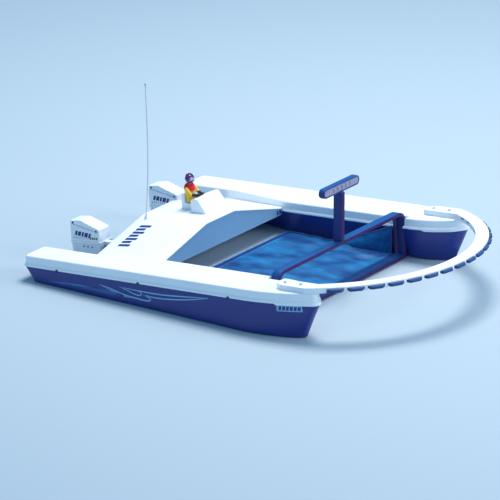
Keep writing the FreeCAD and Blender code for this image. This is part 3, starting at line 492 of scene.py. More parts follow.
# ---------------------------------------------------------------- hulls and decks
def plan(flare=0.0):
    """The port hull's outline from above, round the net's groove. The flare moves its inner side outboard."""
    bow = STEM_RAKE * 0.35 * flare / FLARE
    line = INNER_MID + flare
    groove = max(GROOVE_DEPTH, line + 0.05)
    stern = INNER_STERN + flare
    inner = fillet([(STERN, HALF_BEAM), (STERN, stern), (108, stern), (242, line), (GROOVE_AFT, line)],
                   [0, STERN_CORNER, 30, 30, 0])[1:]
    nose = [(585 - bow, 217 + flare * 0.9), (597.5 - bow, 232 + flare * 0.5),
            (590 - bow, 256 - flare * 0.25)]
    shoulder = (465, HALF_BEAM)
    return (inner + [(GROOVE_AFT, groove), (GROOVE_FRONT, groove), (GROOVE_FRONT, line), (500, line)]
            + bulge((500, line), nose[0], 160, 12) + [nose[1]] + bulge(nose[1], nose[2], 14, 8)
            + bulge(nose[2], shoulder, 330 + flare * 4, 40) + [(330, HALF_BEAM), (180, HALF_BEAM)]
            + arc((STERN + STERN_CORNER, HALF_BEAM - STERN_CORNER), STERN_CORNER, 90, 180, 6))


def hull_ring(side, depth, inset=0.0, lift=0.0, margin=0.0):
    """The hull's outline at a share of its depth, with both ends raked.

    lift raises it, inset shrinks it, and margin is left below it at full depth.
    """
    points, levels = [], []
    for (x, y), (low_x, low_y) in zip(plan(), plan(FLARE)):
        rake = TRANSOM_RAKE * max(0.0, 1 - x / 108) - (STEM_RAKE - 9) * max(0.0, (x - 460) / 140) ** 2
        foot = x + rake - (low_x - x) * floor_level(x) / KEEL_DEPTH
        level = (floor_level(foot) + margin) * depth + lift
        share = -level / KEEL_DEPTH
        points.append((x + (low_x - x) * share + rake * depth, y + (low_y - y) * share))
        levels.append(level)
    return [(x, side * y, z) for (x, y), z in zip(offset(points, inset), levels)]


def hulls():
    """Deep blue hull shells with a soft chine."""
    chine = 5.0
    for name, side in SIDES:
        rings = [hull_ring(side, 1, HULL_WALL, HULL_WALL), hull_ring(side, 0, HULL_WALL)]
        rings += [hull_ring(side, step / 8, margin=chine) for step in range(9)]
        for step in range(1, 6):
            angle = math.radians(18 * step)
            rings.append(hull_ring(side, 1, chine * (1 - math.cos(angle)), chine * (1 - math.sin(angle))))
        make(name + "_hull_shell", Shape().rings(rings), "hull_blue", nodes=[name + "_hull"], smooth=32)


def deck_ring(side, inset, level, lip=False):
    """The deck's outline, moved inward by inset. Where lip is set, the bow's stretch hangs lower."""
    return [(x, side * y, level - (BOW_LIP_DROP if lip and x > BOW_LIP_START else 0.0))
            for x, y in offset(plan(), inset)]


def decks():
    """White decks: a lip over the hull, a bright ledge, an inset side wall and a softly rounded top edge."""
    wall, top_round = 2.1, 3.4
    profile = [(DECK_WALL + 1, DECK_HEIGHT - DECK_WALL), (DECK_WALL + 1, 0.0), (-0.05, 0.0), (-0.05, -0.7, 1),
               (-0.3, -0.9, 1), (-0.7, -0.7, 1), (-0.8, -0.3, 1), (-0.8, 0.9), (-0.7, 1.5), (-0.3, 2.2),
               (0.6, 3.2), (1.5, 4.0), (wall, 4.6), (wall + 0.4, DECK_HEIGHT - top_round)]
    profile += [(wall + 0.4 + top_round * (1 - math.cos(a)), DECK_HEIGHT - top_round * (1 - math.sin(a)))
                for a in (math.radians(18 * k) for k in range(1, 6))]
    profile.append((wall + top_round + 0.9, DECK_HEIGHT))
    for name, side in SIDES:
        rings = [deck_ring(side, *row[:2], lip=len(row) > 2) for row in profile]
        make(name + "_deck_shell", Shape().rings(rings), "deck_white", nodes=[name + "_deck"], smooth=32)


# ---------------------------------------------------------------- bridge
def inner_wall(x):
    """Half-width between the decks at a station of the bridge."""
    share = min(1.0, max(0.0, (x - 108) / (242 - 108)))
    return INNER_STERN + (INNER_MID - INNER_STERN) * share


def roof_section(x, drop, reach):
    """Roof line across the bridge at a station, from starboard to port, with soft folds."""
    end = inner_wall(x) + reach
    line = [(-end, roof_level(end)), (-BRIDGE_FLAT, BRIDGE_TOP), (BRIDGE_FLAT, BRIDGE_TOP),
            (end, roof_level(end))]
    bent = [line[0]] + fillet(line, [0, 26, 26, 0], 6)[1:-1] + [line[3]]
    return [(x, y, z - drop) for y, z in bent]


def bridge():
    """White roof with rolled edges, the fascia below it with its clips, coloured pale blue as painted shade, and
    the roof's seams.
    """
    stations = [(BRIDGE_AFT, 1.6), (BRIDGE_AFT + 0.5, 0.5), (BRIDGE_AFT + 1.6, 0.0), (108, 0.0), (150, 0.0),
                (190, 0.0), (BRIDGE_FRONT - 3.0, 0.0), (BRIDGE_FRONT - 1.3, 0.4), (BRIDGE_FRONT - 0.4, 1.2),
                (BRIDGE_FRONT, 2.4)]
    rings = []
    for x, drop in stations:
        top = roof_section(x, drop, 1.6)
        under = roof_section(x, BRIDGE_SKIN, 1.6)
        rings.append(top + under[::-1])
    make("bridge_roof", Shape().rings(rings), "deck_white", nodes=["bridge_cover"], smooth=40)
    fascia = Shape()
    face, border = 229.4, 2.2
    end = inner_wall(face) + 0.6
    outer = [(-end, roof_level(end) - 3), (-BRIDGE_FLAT, BRIDGE_TOP - 3), (BRIDGE_FLAT, BRIDGE_TOP - 3),
             (end, roof_level(end) - 3), (end, BRIDGE_BOTTOM), (-end, BRIDGE_BOTTOM)][::-1]
    outer = fillet(outer, [2, 2, 0.5, 20, 20, 0.5], 5)
    inner = offset(outer, border)
    steps = [(outer, face - 1.6), (outer, face - 0.4), (offset(outer, 0.4), face),
             (offset(outer, border - 0.5), face), (inner, face - 0.7), (offset(inner, 3), face - 0.7)]
    fascia.rings([[(x, y, z) for y, z in ring] for ring, x in steps])
    # The fascia stands for white plastic; its pale blue is painted shade.
    make("bridge_fascia", fascia, "tray_blue", smooth=30)
    clips = Shape()
    for side in (-1, 1):
        for y in (end - 6, end - 14):
            clips.box((face, side * y - 1.6, -5), (face + 1.2, side * y + 1.6, 2.5))
    make("fascia_clips", clips, "rod_blue", bevel=0.4)
    seams = Shape()
    for side in (-1, 1):
        track = [(x, side * (inner_wall(x) - 0.2), roof_level(inner_wall(x)) + 0.15)
                 for x in (94, 108, 150, 190, 228)]
        seams.tube(track, 0.55, 8)
    make("roof_seams", seams, "housing_white")


def slanted_bars(x, y_start, y_step, count, length, width, slant):
    """A row of leaning bars on the roof's starboard slope, each a thin raised graphic."""
    bars = Shape()
    for number in range(count):
        y = y_start + y_step * number
        size = length * (0.8 if number % 2 else 1.0)
        corners = [(x, y), (x + size, y + slant), (x + size, y + slant + width), (x, y + width)]
        outline = fillet(corners, 1.6, 3)
        low = [(u, v, roof_level(v) - 0.3) for u, v in outline]
        high = [(u, v, roof_level(v) + 0.2) for u, v in outline]
        bars.rings([low, high])
    return bars


def roof_details():
    """The row of bars, the switch and the battery door's ribs."""
    make("roof_graphic", slanted_bars(113, -157, 11.2, 7, 22, 7.6, 4), GRAPHIC_DARK)
    switch_well()
    battery_door()


def switch_well():
    """Switch plate to port of the seat, with a raised frame, two screws, and a dot and a bar as marks."""
    x, y, top = 137.0, 27.5, BRIDGE_TOP
    plate = Shape()
    outer = [(x, y), (x + 26, y), (x + 26, y + 16), (x, y + 16)]
    hole = [(x + 7, y + 5), (x + 19, y + 5), (x + 19, y + 11), (x + 7, y + 11)]
    rings = [(rounded(outer, 2.5, inset), level) for inset, level in ((0, 0), (0, 0.9), (0.5, 1.4))]
    lips = ((-1.4, 1.4), (-0.9, 1.9), (-0.3, 1.9), (0, 1.5), (0, -1.0))
    rings += [(rounded(hole, 2.2, inset), level) for inset, level in lips]
    plate.rings([[(u, v, top + level) for u, v in ring] for ring, level in rings], joined=True)
    make("switch_bezel", plate, "black_plastic", nodes=["switch_plate"], smooth=30)
    marks = Shape().box((x + 3.4, y + 6.6, top + 1.35), (x + 4.4, y + 9.4, top + 1.6))
    marks.lathe([(0.9, 0), (0.9, 0.25)], (x + 22.6, y + 8, top + 1.35), UP, 16)
    make("switch_marks", marks, "plate_grey")
    knob = Shape().box((x + 8, y + 6, top - 3.4), (x + 13, y + 10, top + 1.2))
    knob.box((x + 7.7, y + 5.5, top + 1.7), (x + 13.3, y + 10.5, top + 2.6))
    for rib in range(4):
        start = x + 8.2 + 1.35 * rib
        knob.box((start, y + 5.8, top + 2.4), (start + 0.8, y + 10.2, top + 4.4 - abs(rib - 1.5) * 0.3))
    make("switch_slider", knob, "black_plastic", body="switch", nodes=["switch_knob"], bevel=0.18)
    places = [(x + 3, y + 2.8, top + 1.4), (x + 23, y + 13.2, top + 1.4)]
    screws("switch_plate_screws", places, UP, 1.5, "steel")


def battery_door():
    """Grip ribs on the door under the bridge."""
    ribs = Shape()
    for number in range(7):
        x = 150 + 5 * number
        ribs.box((x, -18, BRIDGE_BOTTOM - 1.2), (x + 1.8, 18, BRIDGE_BOTTOM + 0.4))
    make("battery_door_ribs", ribs, "tray_blue", bevel=0.5)


# ---------------------------------------------------------------- fasteners
def screw_head(shape, place, axis, radius):
    """Domed head with a cross recess: a low dome whose crown is cut by a sunken cross."""
    axis = Vector(axis).normalized()
    side = axis.orthogonal().normalized()
    other = axis.cross(side)
    base = Vector(place)
    arm, half, deep = radius * 0.58, radius * 0.15, radius * 0.34
    cross = [(arm, -half), (arm, half), (half, half), (half, arm), (-half, arm), (-half, half), (-arm, half),
             (-arm, -half), (-half, -half), (-half, -arm), (half, -arm), (half, -half)]
    turns = [math.atan2(v, u) for u, v in cross]
    rings = []
    for share, height in ((1.0, -0.1), (1.0, 0.16), (0.93, 0.36), (0.78, 0.5), (0.66, 0.55)):
        rings.append([base + side * (radius * share * math.cos(a)) + other * (radius * share * math.sin(a))
                      + axis * (radius * height) for a in turns])
    for height in (0.57 * radius, 0.57 * radius - deep):
        rings.append([base + side * u + other * v + axis * height for u, v in cross])
    return shape.rings(rings)


def screws(name, places, axis, radius, material, nodes=(), body="boat"):
    """One piece that holds a screw head at each place."""
    shape = Shape()
    for place in places:
        screw_head(shape, place, axis, radius)
    return make(name, shape, material, body=body, nodes=nodes, smooth=50)


def fasteners():
    """Screws of the rail and the battery door, the rail's screw bosses, and the clips along the decks."""
    heads = [(x, side * 241.0, RAIL_TOP + 0.1) for _, side in SIDES for x in (532.7, 565.0)]
    screws("rail_screw_heads", heads, UP, 3.4, "steel", nodes=["panhead_screws"])
    screws("door_screw_heads", [(x, side * 28.0, BRIDGE_BOTTOM) for _, side in SIDES for x in (133, 197)],
           (0, 0, -1), 3.2, "steel")
    rims = Shape()
    rim = [(5.2, -0.3), (5.2, 0.2), (4.7, 0.45), (4.1, 0.2), (3.7, -0.3)]
    for x, y, _ in heads:
        rims.lathe(rim, (x, y, RAIL_TOP), UP, 32, False)
    make("screw_bosses", rims, "housing_white")
    clips = Shape()
    for _, side in SIDES:
        for x in (68, 245, 436):
            y = side * (HALF_BEAM + 0.9)
            clips.box((x, y - 0.8, -2.2), (x + 5, y + 0.8, 1.8))
            clips.box((x + 1.2, y + side * 0.6 - 0.4, -1.6), (x + 3.8, y + side * 0.6 + 0.4, 0.4))
    make("deck_clip_hooks", clips, "black_plastic", nodes=["deck_clips"], bevel=0.35)


# ---------------------------------------------------------------- outboards
def side_loft(shape, y, corners, radii, rows):
    """Skin between rounded side outlines, each (inset, distance from the middle plane), mirrored about it."""
    levels = [(inset, y - half) for inset, half in rows[::-1]] + [(inset, y + half) for inset, half in rows]
    return shape.rings([[(u, level, v) for u, v in rounded(corners, radii, inset)] for inset, level in levels])


def outboard(name, side):
    """Cowl in two mouldings with a seam, its skirt and details, on the carried lower unit and bracket."""
    y = side * OUTBOARD_Y + COWL_SHIFT
    seam_aft, seam_front, gap = 39.5, 27.5, 0.25
    edge = [(0, COWL_HALF - 1.8), (0.3, COWL_HALF - 0.7), (0.9, COWL_HALF - 0.15), (1.8, COWL_HALF)]
    body = [(COWL_AFT, 7), (COWL_FRONT, 11), (COWL_FRONT, seam_front - gap), (COWL_AFT, seam_aft - gap)]
    make(name + "_cowl_body", side_loft(Shape(), y, body, [1.5, 1.5, 0.5, 0.5], edge), "deck_white",
         nodes=[name + "_outboard_cowl"], smooth=30)
    cap = [(COWL_AFT, seam_aft + gap), (COWL_FRONT, seam_front + gap), (COWL_FRONT, 35.0), (19, 48.4),
           (COWL_AFT, 45.4)]
    crown = [(0, COWL_HALF - 4.4), (0.4, COWL_HALF - 2.2), (1.2, COWL_HALF - 0.6), (2.2, COWL_HALF - 0.1),
             (2.8, COWL_HALF)]
    top = side_loft(Shape(), y, cap, [0.5, 0.5, 3.5, 9, 3], crown)
    make(name + "_cowl_cap", top, "deck_white", smooth=30)
    core = [(COWL_AFT + 1, 9), (COWL_FRONT - 1, 13), (COWL_FRONT - 1, 33.4), (19, 45.6), (COWL_AFT + 1, 42.8)]
    make(name + "_cowl_core", side_loft(Shape(), y, core, 1.0, [(0, COWL_HALF - 4.6), (1, COWL_HALF - 3.2)]),
         "housing_white")
    skirt = [(COWL_AFT - 0.6, 3.6), (COWL_FRONT + 0.6, 7.6), (COWL_FRONT + 0.6, 11.2), (COWL_AFT - 0.6, 7.2)]
    rim = [(0, COWL_HALF - 0.3), (0.2, COWL_HALF + 0.4), (0.7, COWL_HALF + 0.8), (1.2, COWL_HALF + 0.8)]
    make(name + "_cowl_skirt", side_loft(Shape(), y, skirt, 1.2, rim), "deck_white", smooth=30)
    outboard_details(name, y)
    propeller(name, side, side * OUTBOARD_Y)


def outboard_details(name, y):
    """Bar graphic, louvre row, dots and screws on both sides of the cowl."""
    bars, vents, dots, heads = Shape(), Shape(), Shape(), Shape()
    for way in (-1, 1):
        face = y + way * COWL_HALF
        for start, width in ((6, 4.8), (12.4, 6.6), (20.6, 4.4), (26.6, 7.4), (35.6, 4.6)):
            level = 27.4 - start * 0.07
            bar = [(start, level - 8.2), (start + width, level - 8.4), (start + width + 2.6, level),
                   (start + 2.6, level)]
            bars.plate(fillet(bar, 0.5, 3), *sorted((face - way * 0.3, face + way * 0.2)), view="xz")
        for number in range(12):
            x, bold = 3 + 4.5 * number, number > 7
            base, width = 11.6 + x * 0.06, 2.8 if bold else 0.8
            louvre = [(x, base), (x + width, base + 0.1), (x + width + 0.8, base + 4.0), (x + 0.8, base + 3.9)]
            vents.plate(fillet(louvre, 0.3, 3), *sorted((face - way * 0.4, face + way * 0.22)), view="xz")
        for x in (24, 33.5, 43):
            place = (x, y + way * (COWL_HALF - 0.2), -0.4)
            dots.lathe([(1.7, -2.4), (1.7, 0.35), (1.2, 0.6)], place, (0, way, 0), 20)
        screw_head(heads, (3.0, face, 42.0), (0, way, 0), 1.9)
        screw_head(heads, (54.0, face, 30.6), (0, way, 0), 1.9)
    make(name + "_cowl_bars", bars, GRAPHIC_DARK)
    make(name + "_cowl_louvres", vents, "black_plastic")
    make(name + "_housing_dots", dots, "plate_grey")
    stands_for = ["cowl_screws"] if name == "port" else ()
    make(name + "_cowl_screw_heads", heads, SCREW_DARK, nodes=stands_for, smooth=50)


def propeller(name, side, y):
    """Three twisted, swept blades with thin rims on a bullet hub."""
    shape = Shape()
    hub = [(1.52, 0), (3.0, 0), (3.5, 0.8), (3.6, 3), (3.6, 8.4), (3.2, 9.6), (1.52, 10)]
    shape.lathe(hub, (6, y, SHAFT_LEVEL), FORWARD, 32, False)
    middle = Vector((11, y, SHAFT_LEVEL))
    for blade in range(3):
        turn = Matrix.Rotation(math.radians(120 * blade), 3, "X")
        sections = []
        for step in range(7):
            share = step / 6
            radius = 3.1 + 7.9 * share
            chord = 7.4 * math.sin(math.pi * (0.24 + 0.68 * share)) ** 0.8
            pitch = math.radians(side * (58 - 30 * share))
            thick = 0.62 * (1 - 0.6 * share)
            swept = Vector((0, 1.6 * share ** 2 * side, 0))
            ring = []
            for a in turns(12):
                u, w = chord / 2 * math.cos(a), thick * math.sin(a)
                across = Vector((u * math.sin(pitch) + w * math.cos(pitch),
                                 u * math.cos(pitch) - w * math.sin(pitch), radius))
                ring.append(middle + turn @ (across + swept))
            sections.append(ring)
        shape.rings(sections)
    make(name + "_propeller_blades", shape, "propeller_blue", body=name + "_screw",
         nodes=[name + "_propeller"], smooth=50)


# ---------------------------------------------------------------- cockpit, driver and antenna
def cockpit():
    """Rounded console with a dial panel, bucket seat and wheel."""
    y, top = COCKPIT_Y, BRIDGE_TOP
    edge = ((1.8, 0.0), (1.0, 0.1), (0.35, 0.6), (0.0, 1.6))
    stations = [(CONSOLE_STARBOARD + step, inset) for inset, step in edge]
    stations += [(across, 0.0) for across in (2, 9, 16, 23, 30, 37, BRIDGE_FLAT, 51, 58)]
    stations += [(CONSOLE_PORT - step, inset) for inset, step in reversed(edge)]
    rings = []
    for across, inset in stations:
        base = roof_level(across) - 0.4
        share = (across - CONSOLE_STARBOARD) / (CONSOLE_PORT - CONSOLE_STARBOARD)
        hood = 5.5 * math.sin(math.pi * share) ** 0.8
        corners = [(169, base), (203 + (top - base) * 0.75, base), (184, top + 25.6 + hood),
                   (177, top + 26.2), (169, top + 21.5)]
        rings.append([(u, across, v) for u, v in rounded(corners, [0.4, 1.5, 3, 2.5, 2.5], inset)])
    make("console_shell", Shape().rings(rings), "deck_white", nodes=["console"], smooth=35)
    panel = Shape()
    face = fillet([(y - 16, top + 5), (y + 16, top + 5), (y + 16, top + 18), (y - 16, top + 18)], 2, 4)
    panel.plate(face, 168.3, 169.2, "yz")
    make("console_panel", panel, "tray_blue", bevel=0.3)
    dials = Shape()
    for offset_y, radius in ((-9, 3.2), (0, 4.2), (9, 3.2)):
        dials.lathe([(radius, 0), (radius, 0.8), (radius - 0.6, 1.0), (radius - 0.9, 0.4), (0.01, 0.4)],
                    (168.4, y + offset_y, top + 11.5), (-1, 0, 0), 28)
    make("console_dials", dials, "black_plastic", smooth=30)
    seat = Shape()
    corners = [(139, top - 0.3), (162, top - 0.3), (162, top + 12), (147.5, top + 12), (145.4, top + 29),
               (139.4, top + 29)]
    sides = [(0, 7.6), (0.3, 8.5), (0.8, 8.9), (1.4, 9.0)]
    side_loft(seat, y, corners, [0.4, 1.2, 2.6, 3.0, 2.2, 2.2], sides)
    make("seat_shell", seat, "deck_white", nodes=["driver_seat"], smooth=35)
    pad = Shape()
    for low, high in (((147.6, y - 6.6, top + 11.4), (161.0, y + 6.6, top + 12.3)),
                      ((145.2, y - 6.6, top + 14), (147.0, y + 6.6, top + 27))):
        pad.box(low, high)
    make("seat_lining", pad, "housing_white", bevel=0.7)
    steering_wheel(y, top)


def steering_wheel(y, top):
    """Thin-rimmed wheel with three spokes on a raked hub."""
    wheel = Shape()
    axis = Vector((-0.55, 0, 0.8)).normalized()
    hub = Vector((177.6, y, top + 30.0))
    across = axis.cross(PORTWARD)
    rim_radius, rim_half = 5.4, 0.85
    rings = []
    for a in turns(40):
        out = PORTWARD * math.cos(a) + across * math.sin(a)
        rings.append([hub + out * (rim_radius + rim_half * math.cos(b)) + axis * (rim_half * math.sin(b))
                      for b in turns(12)])
    wheel.rings(rings, joined=True)
    for angle in (90, 210, 330):
        a = math.radians(angle)
        out = PORTWARD * math.cos(a) + across * math.sin(a)
        spoke = [hub - axis * 0.6 + out * 1.2, hub + out * 3.2, hub + out * 5.2]
        wheel.tube(spoke, [0.9, 0.65, 0.75], 10, squash=0.7)
    wheel.lathe([(1.3, -6), (1.3, -1.5), (2.2, -1.0), (2.2, 0.3), (1.7, 0.9), (0.6, 1.1)], hub, axis, 24)
    make("steering_wheel_rim", wheel, "black_plastic", nodes=["steering_wheel"], smooth=45)


def ellipse(x, y, z, reach, half, steps=20, square=1.0):
    """A level ring about (x, y, z); square below 1 makes its sides flatter."""
    ring = []
    for a in turns(steps):
        u, v = math.cos(a), math.sin(a)
        ring.append((x + reach * math.copysign(abs(u) ** square, u),
                     y + half * math.copysign(abs(v) ** square, v), z))
    return ring


def driver():
    """Seated toy driver: yellow suit, short red float vest, black gloves and boots, purple helmet."""
    y, seat = COCKPIT_Y, SEAT_TOP
    torso = Shape()
    rows = [(154.6, 56.2, 5.2, 6.4), (154.6, 57.2, 6.6, 7.8), (154.2, 61, 7.1, 8.6), (153.4, 66, 6.8, 8.4),
            (152.8, 71, 7.2, 9.2), (152.4, 77, 8.0, 10.4), (152.2, 82, 7.8, 10.8), (152.4, 86, 6.4, 9.2),
            (153.0, 88.6, 3.8, 5.0), (153.6, 90.5, 3.2, 3.6)]
    torso.rings([ellipse(x, y, z, reach, half, 20, 0.86) for x, z, reach, half in rows])
    boots = Shape()
    for side in (-1, 1):
        leg = y + side * 4.3
        torso.tube([(154, y + side * 4.2, 59.6), (158, leg, 60.4), (162.6, leg, 60.2), (165.6, leg, 57.8),
                    (165.9, leg, 53)], [3.8, 3.9, 3.5, 3.2, 2.7], 16)
        boots.tube([(165.9, leg, 54), (165.8, leg, 49), (165.4, leg, 46.5), (165.5, leg, 44.0)],
                   [2.9, 2.8, 2.9, 2.7], 16)
        boots.tube([(162.6, leg, 45.2), (166, leg, 45.3), (168.3, leg, 44.9)], [1.6, 2.1, 1.2], 14, squash=0.8)
    make("driver_suit", torso, "suit_yellow", nodes=["driver_body"], subdivide=1)
    make("driver_boots", boots, "black_plastic", smooth=50)
    vest = Shape()
    rows = [(155.4, 77.4, 7.6, 8.6), (155.6, 76.8, 8.4, 9.2), (155.2, 77.8, 9.2, 9.8),
            (154.4, 80, 9.8, 10.2), (153.6, 84, 9.6, 10.6), (153.2, 87.4, 8.6, 10.2),
            (153.4, 89.8, 7.0, 8.2), (153.8, 91.2, 6.0, 6.6), (153.8, 90.8, 5.2, 5.6), (153, 87, 6.4, 9.4)]
    vest.rings([ellipse(x, y, z, reach, half, 24, 0.86) for x, z, reach, half in rows])
    make("driver_float_vest", vest, "vest_red", nodes=["driver_vest"], subdivide=1)
    seam = ellipse(154.9, y, 78.8, 9.7, 10.2, 40, 0.86)
    make("driver_vest_seam", Shape().tube(seam + seam[:1], 0.35, 8), "suit_yellow", smooth=60)
    driver_arms(y, seat)
    driver_head(y)


def driver_arms(y, seat):
    """Bent arms whose gloved fingers close on the wheel."""
    for name, side in SIDES:
        shoulder = Vector((152.6, y + side * 10.2, 84.6))
        elbow = Vector((163.4, y + side * 12.6, seat + 17.6))
        wrist = Vector((173.2, y + side * 6.6, seat + 16.6))
        hand = Vector((176.6, y + side * 4.8, seat + 17.2))
        sleeve = Shape().tube([shoulder, shoulder.lerp(elbow, 0.3) + Vector((0, side * 1.2, 0.3)),
                               shoulder.lerp(elbow, 0.72), elbow, elbow.lerp(wrist, 0.35)],
                              [3.6, 3.5, 3.0, 3.1, 2.7], 16)
        make("driver_%s_sleeve" % name, sleeve, "suit_yellow", subdivide=1)
        cuff = [elbow.lerp(wrist, share) for share in (0.28, 0.36, 0.9)]
        glove = Shape().tube(cuff + [wrist, hand, hand + Vector((2.2, -side * 0.6, 0.4))],
                             [3.1, 3.2, 2.7, 2.5, 2.9, 1.9], 16)
        for finger in range(4):
            root = hand + Vector((1.0, side * (1.8 - 1.1 * finger), 1.2))
            glove.tube([root, root + Vector((1.7, 0, 0.2)), root + Vector((2.2, 0, -1.4)),
                        root + Vector((1.0, 0, -2.3))], [0.75, 0.75, 0.7, 0.55], 8)
        make("driver_%s_glove" % name, glove, "black_plastic", nodes=["driver_%s_arm" % name], smooth=60)


def ball_point(centre, radius, around, up):
    """A point of a ball: around in degrees from straight ahead, up in degrees."""
    a, b = math.radians(around), math.radians(up)
    out = Vector((math.cos(a) * math.cos(b), math.sin(a) * math.cos(b), math.sin(b)))
    return Vector(centre) + out * radius


def driver_head(y):
    """Plain doll's head inside its helmet."""
    centre = Vector((154.6, y, 99.9))
    profile = [(3.0, -12), (3.1, -7.5), (3.0, -6.2), (4.8, -5.4), (6.2, -3.4), (6.9, 0), (6.5, 3.4),
               (4.9, 5.8), (2.4, 7.0), (0.3, 7.3)]
    head = Shape().lathe(profile, centre, UP, 28)
    nose = [centre + Vector(spot) for spot in ((6.6, 0, 0.6), (7.6, 0, -0.8), (6.9, 0, -1.8))]
    head.tube(nose, [0.5, 0.9, 0.5], 10)
    make("driver_face", head, "skin_tone", nodes=["driver_head"], subdivide=1)
    eyes = Shape()
    for side in (-1, 1):
        eyes.lathe([(0.75, 0), (0.7, 0.3), (0.3, 0.5)], centre + Vector((6.35, side * 2.3, 1.2)),
                   (1, side * 0.3, 0.1), 14)
    make("driver_eyes", eyes, "black_plastic")
    helmet_shell(centre)
    helmet_details(centre)


def helmet_shell(centre):
    """A thin ball with a chin bar and an opening for the face."""
    columns, rows = 36, 20
    rim, sweep = -62, 152
    points, faces = [], []
    for j in range(rows + 1):
        up = rim + sweep * j / rows
        for i in range(columns):
            around = 360 * i / columns
            ahead = max(0.0, math.cos(math.radians(around))) * max(0.0, 1 - abs(up + 26) / 34)
            points.append(ball_point(centre, 8.8 + 1.3 * ahead, around, up) + HELMET_LIFT)
    for j in range(rows):
        middle = rim + sweep * (j + 0.5) / rows
        for i in range(columns):
            around = (360 * (i + 0.5) / columns + 180) % 360 - 180
            if -18 < middle < 12 and abs(around) < 52:
                continue
            k = (i + 1) % columns
            faces.append([j * columns + i, j * columns + k, (j + 1) * columns + k, (j + 1) * columns + i])
    shell = make("driver_helmet_shell", Shape().add(points, faces), "helmet_purple",
                 nodes=["driver_helmet"], smooth=180)
    thicken(shell, 0.0013, -1)
    finer = shell.modifiers.new("finer", "SUBSURF")
    finer.levels = finer.render_levels = 1


def thicken(piece, thickness, way):
    """Gives a skin a thickness in metres, inward for -1 and outward for 1."""
    thick = piece.modifiers.new("thick", "SOLIDIFY")
    thick.thickness, thick.offset = thickness, way


def helmet_details(centre):
    """Tinted visor with its side pivots, and three ridges over the crown."""
    patch = [[ball_point(centre, 9.25, around, up) + HELMET_LIFT for around in range(-56, 57, 4)]
             for up in range(-20, 15, 3)]
    visor = Shape().rings(patch, False, False, closed=False)
    pane = make("driver_visor_pane", visor, "visor_clear", nodes=["driver_visor"], smooth=180)
    thicken(pane, 0.0006, 1)
    trims = Shape()
    for side in (-1, 1):
        place = ball_point(centre, 9.1, side * 60, -2) + HELMET_LIFT
        trims.lathe([(1.5, -0.6), (1.5, 0.5), (1.1, 0.9), (0.4, 0.9)], place, place - centre, 20)
    make("driver_helmet_pivots", trims, "helmet_purple", smooth=40)
    stripes = Shape()
    for shift in (-12, 0, 12):
        path = [ball_point(centre, 9.0, 0 if up <= 90 else 180, up if up <= 90 else 180 - up)
                + Vector((0, shift * 0.16, 0.3)) for up in range(34, 150, 8)]
        stripes.tube(path, 0.42, 8)
    make("driver_helmet_ridges", stripes, "helmet_purple")


def antenna():
    """Upright whip with a slight bow, in a ribbed boot on the roof's starboard slope."""
    x, y = 108.0, -58.0
    foot = roof_level(y)
    profile = [(4.6, -0.6), (4.6, 0.5), (4.2, 1.0), (3.0, 1.3), (2.8, 2.2), (3.1, 2.6), (2.7, 3.0),
               (2.5, 4.0), (2.7, 4.4), (2.2, 4.8), (2.0, 6.8), (1.4, 7.6), (0.9, 7.8)]
    boot = Shape().lathe(profile, (x, y, foot), UP, 28)
    make("antenna_boot", boot, "housing_white", nodes=["antenna_base"], smooth=40)
    length, bow, steps = 246.0, 5.5, 24
    path = []
    for k in range(steps + 1):
        share = k / steps
        ahead = length * share * math.sin(TRIM) + bow * math.sin(math.pi * share) * (1 - share * 0.4)
        path.append((x + ahead, y, foot + 6 + length * share * math.cos(TRIM)))
    whip = Shape().tube(path, [0.85 - 0.3 * k / steps for k in range(steps + 1)], 12)
    whip.lathe([(0.7, -2.4), (1.3, -1.8), (1.6, -0.4), (1.4, 0.7), (0.8, 1.3), (0.1, 1.5)], path[-1], UP, 20)
    make("antenna_rod", whip, "steel", nodes=["antenna_whip"], smooth=50)


# ---------------------------------------------------------------- net frame and grip
def band_ring(inset, x):
    """The net frame's outline at a station, moved inward by inset."""
    foot = floor_level(NET_AFT, 1.0)
    corners = [(-FRAME_HALF, foot), (FRAME_HALF, foot), (FRAME_HALF, FRAME_TOP), (-FRAME_HALF, FRAME_TOP)]
    return [(x, y, z) for y, z in rounded(corners, [4, 4, FRAME_CORNER, FRAME_CORNER], inset, 9)]


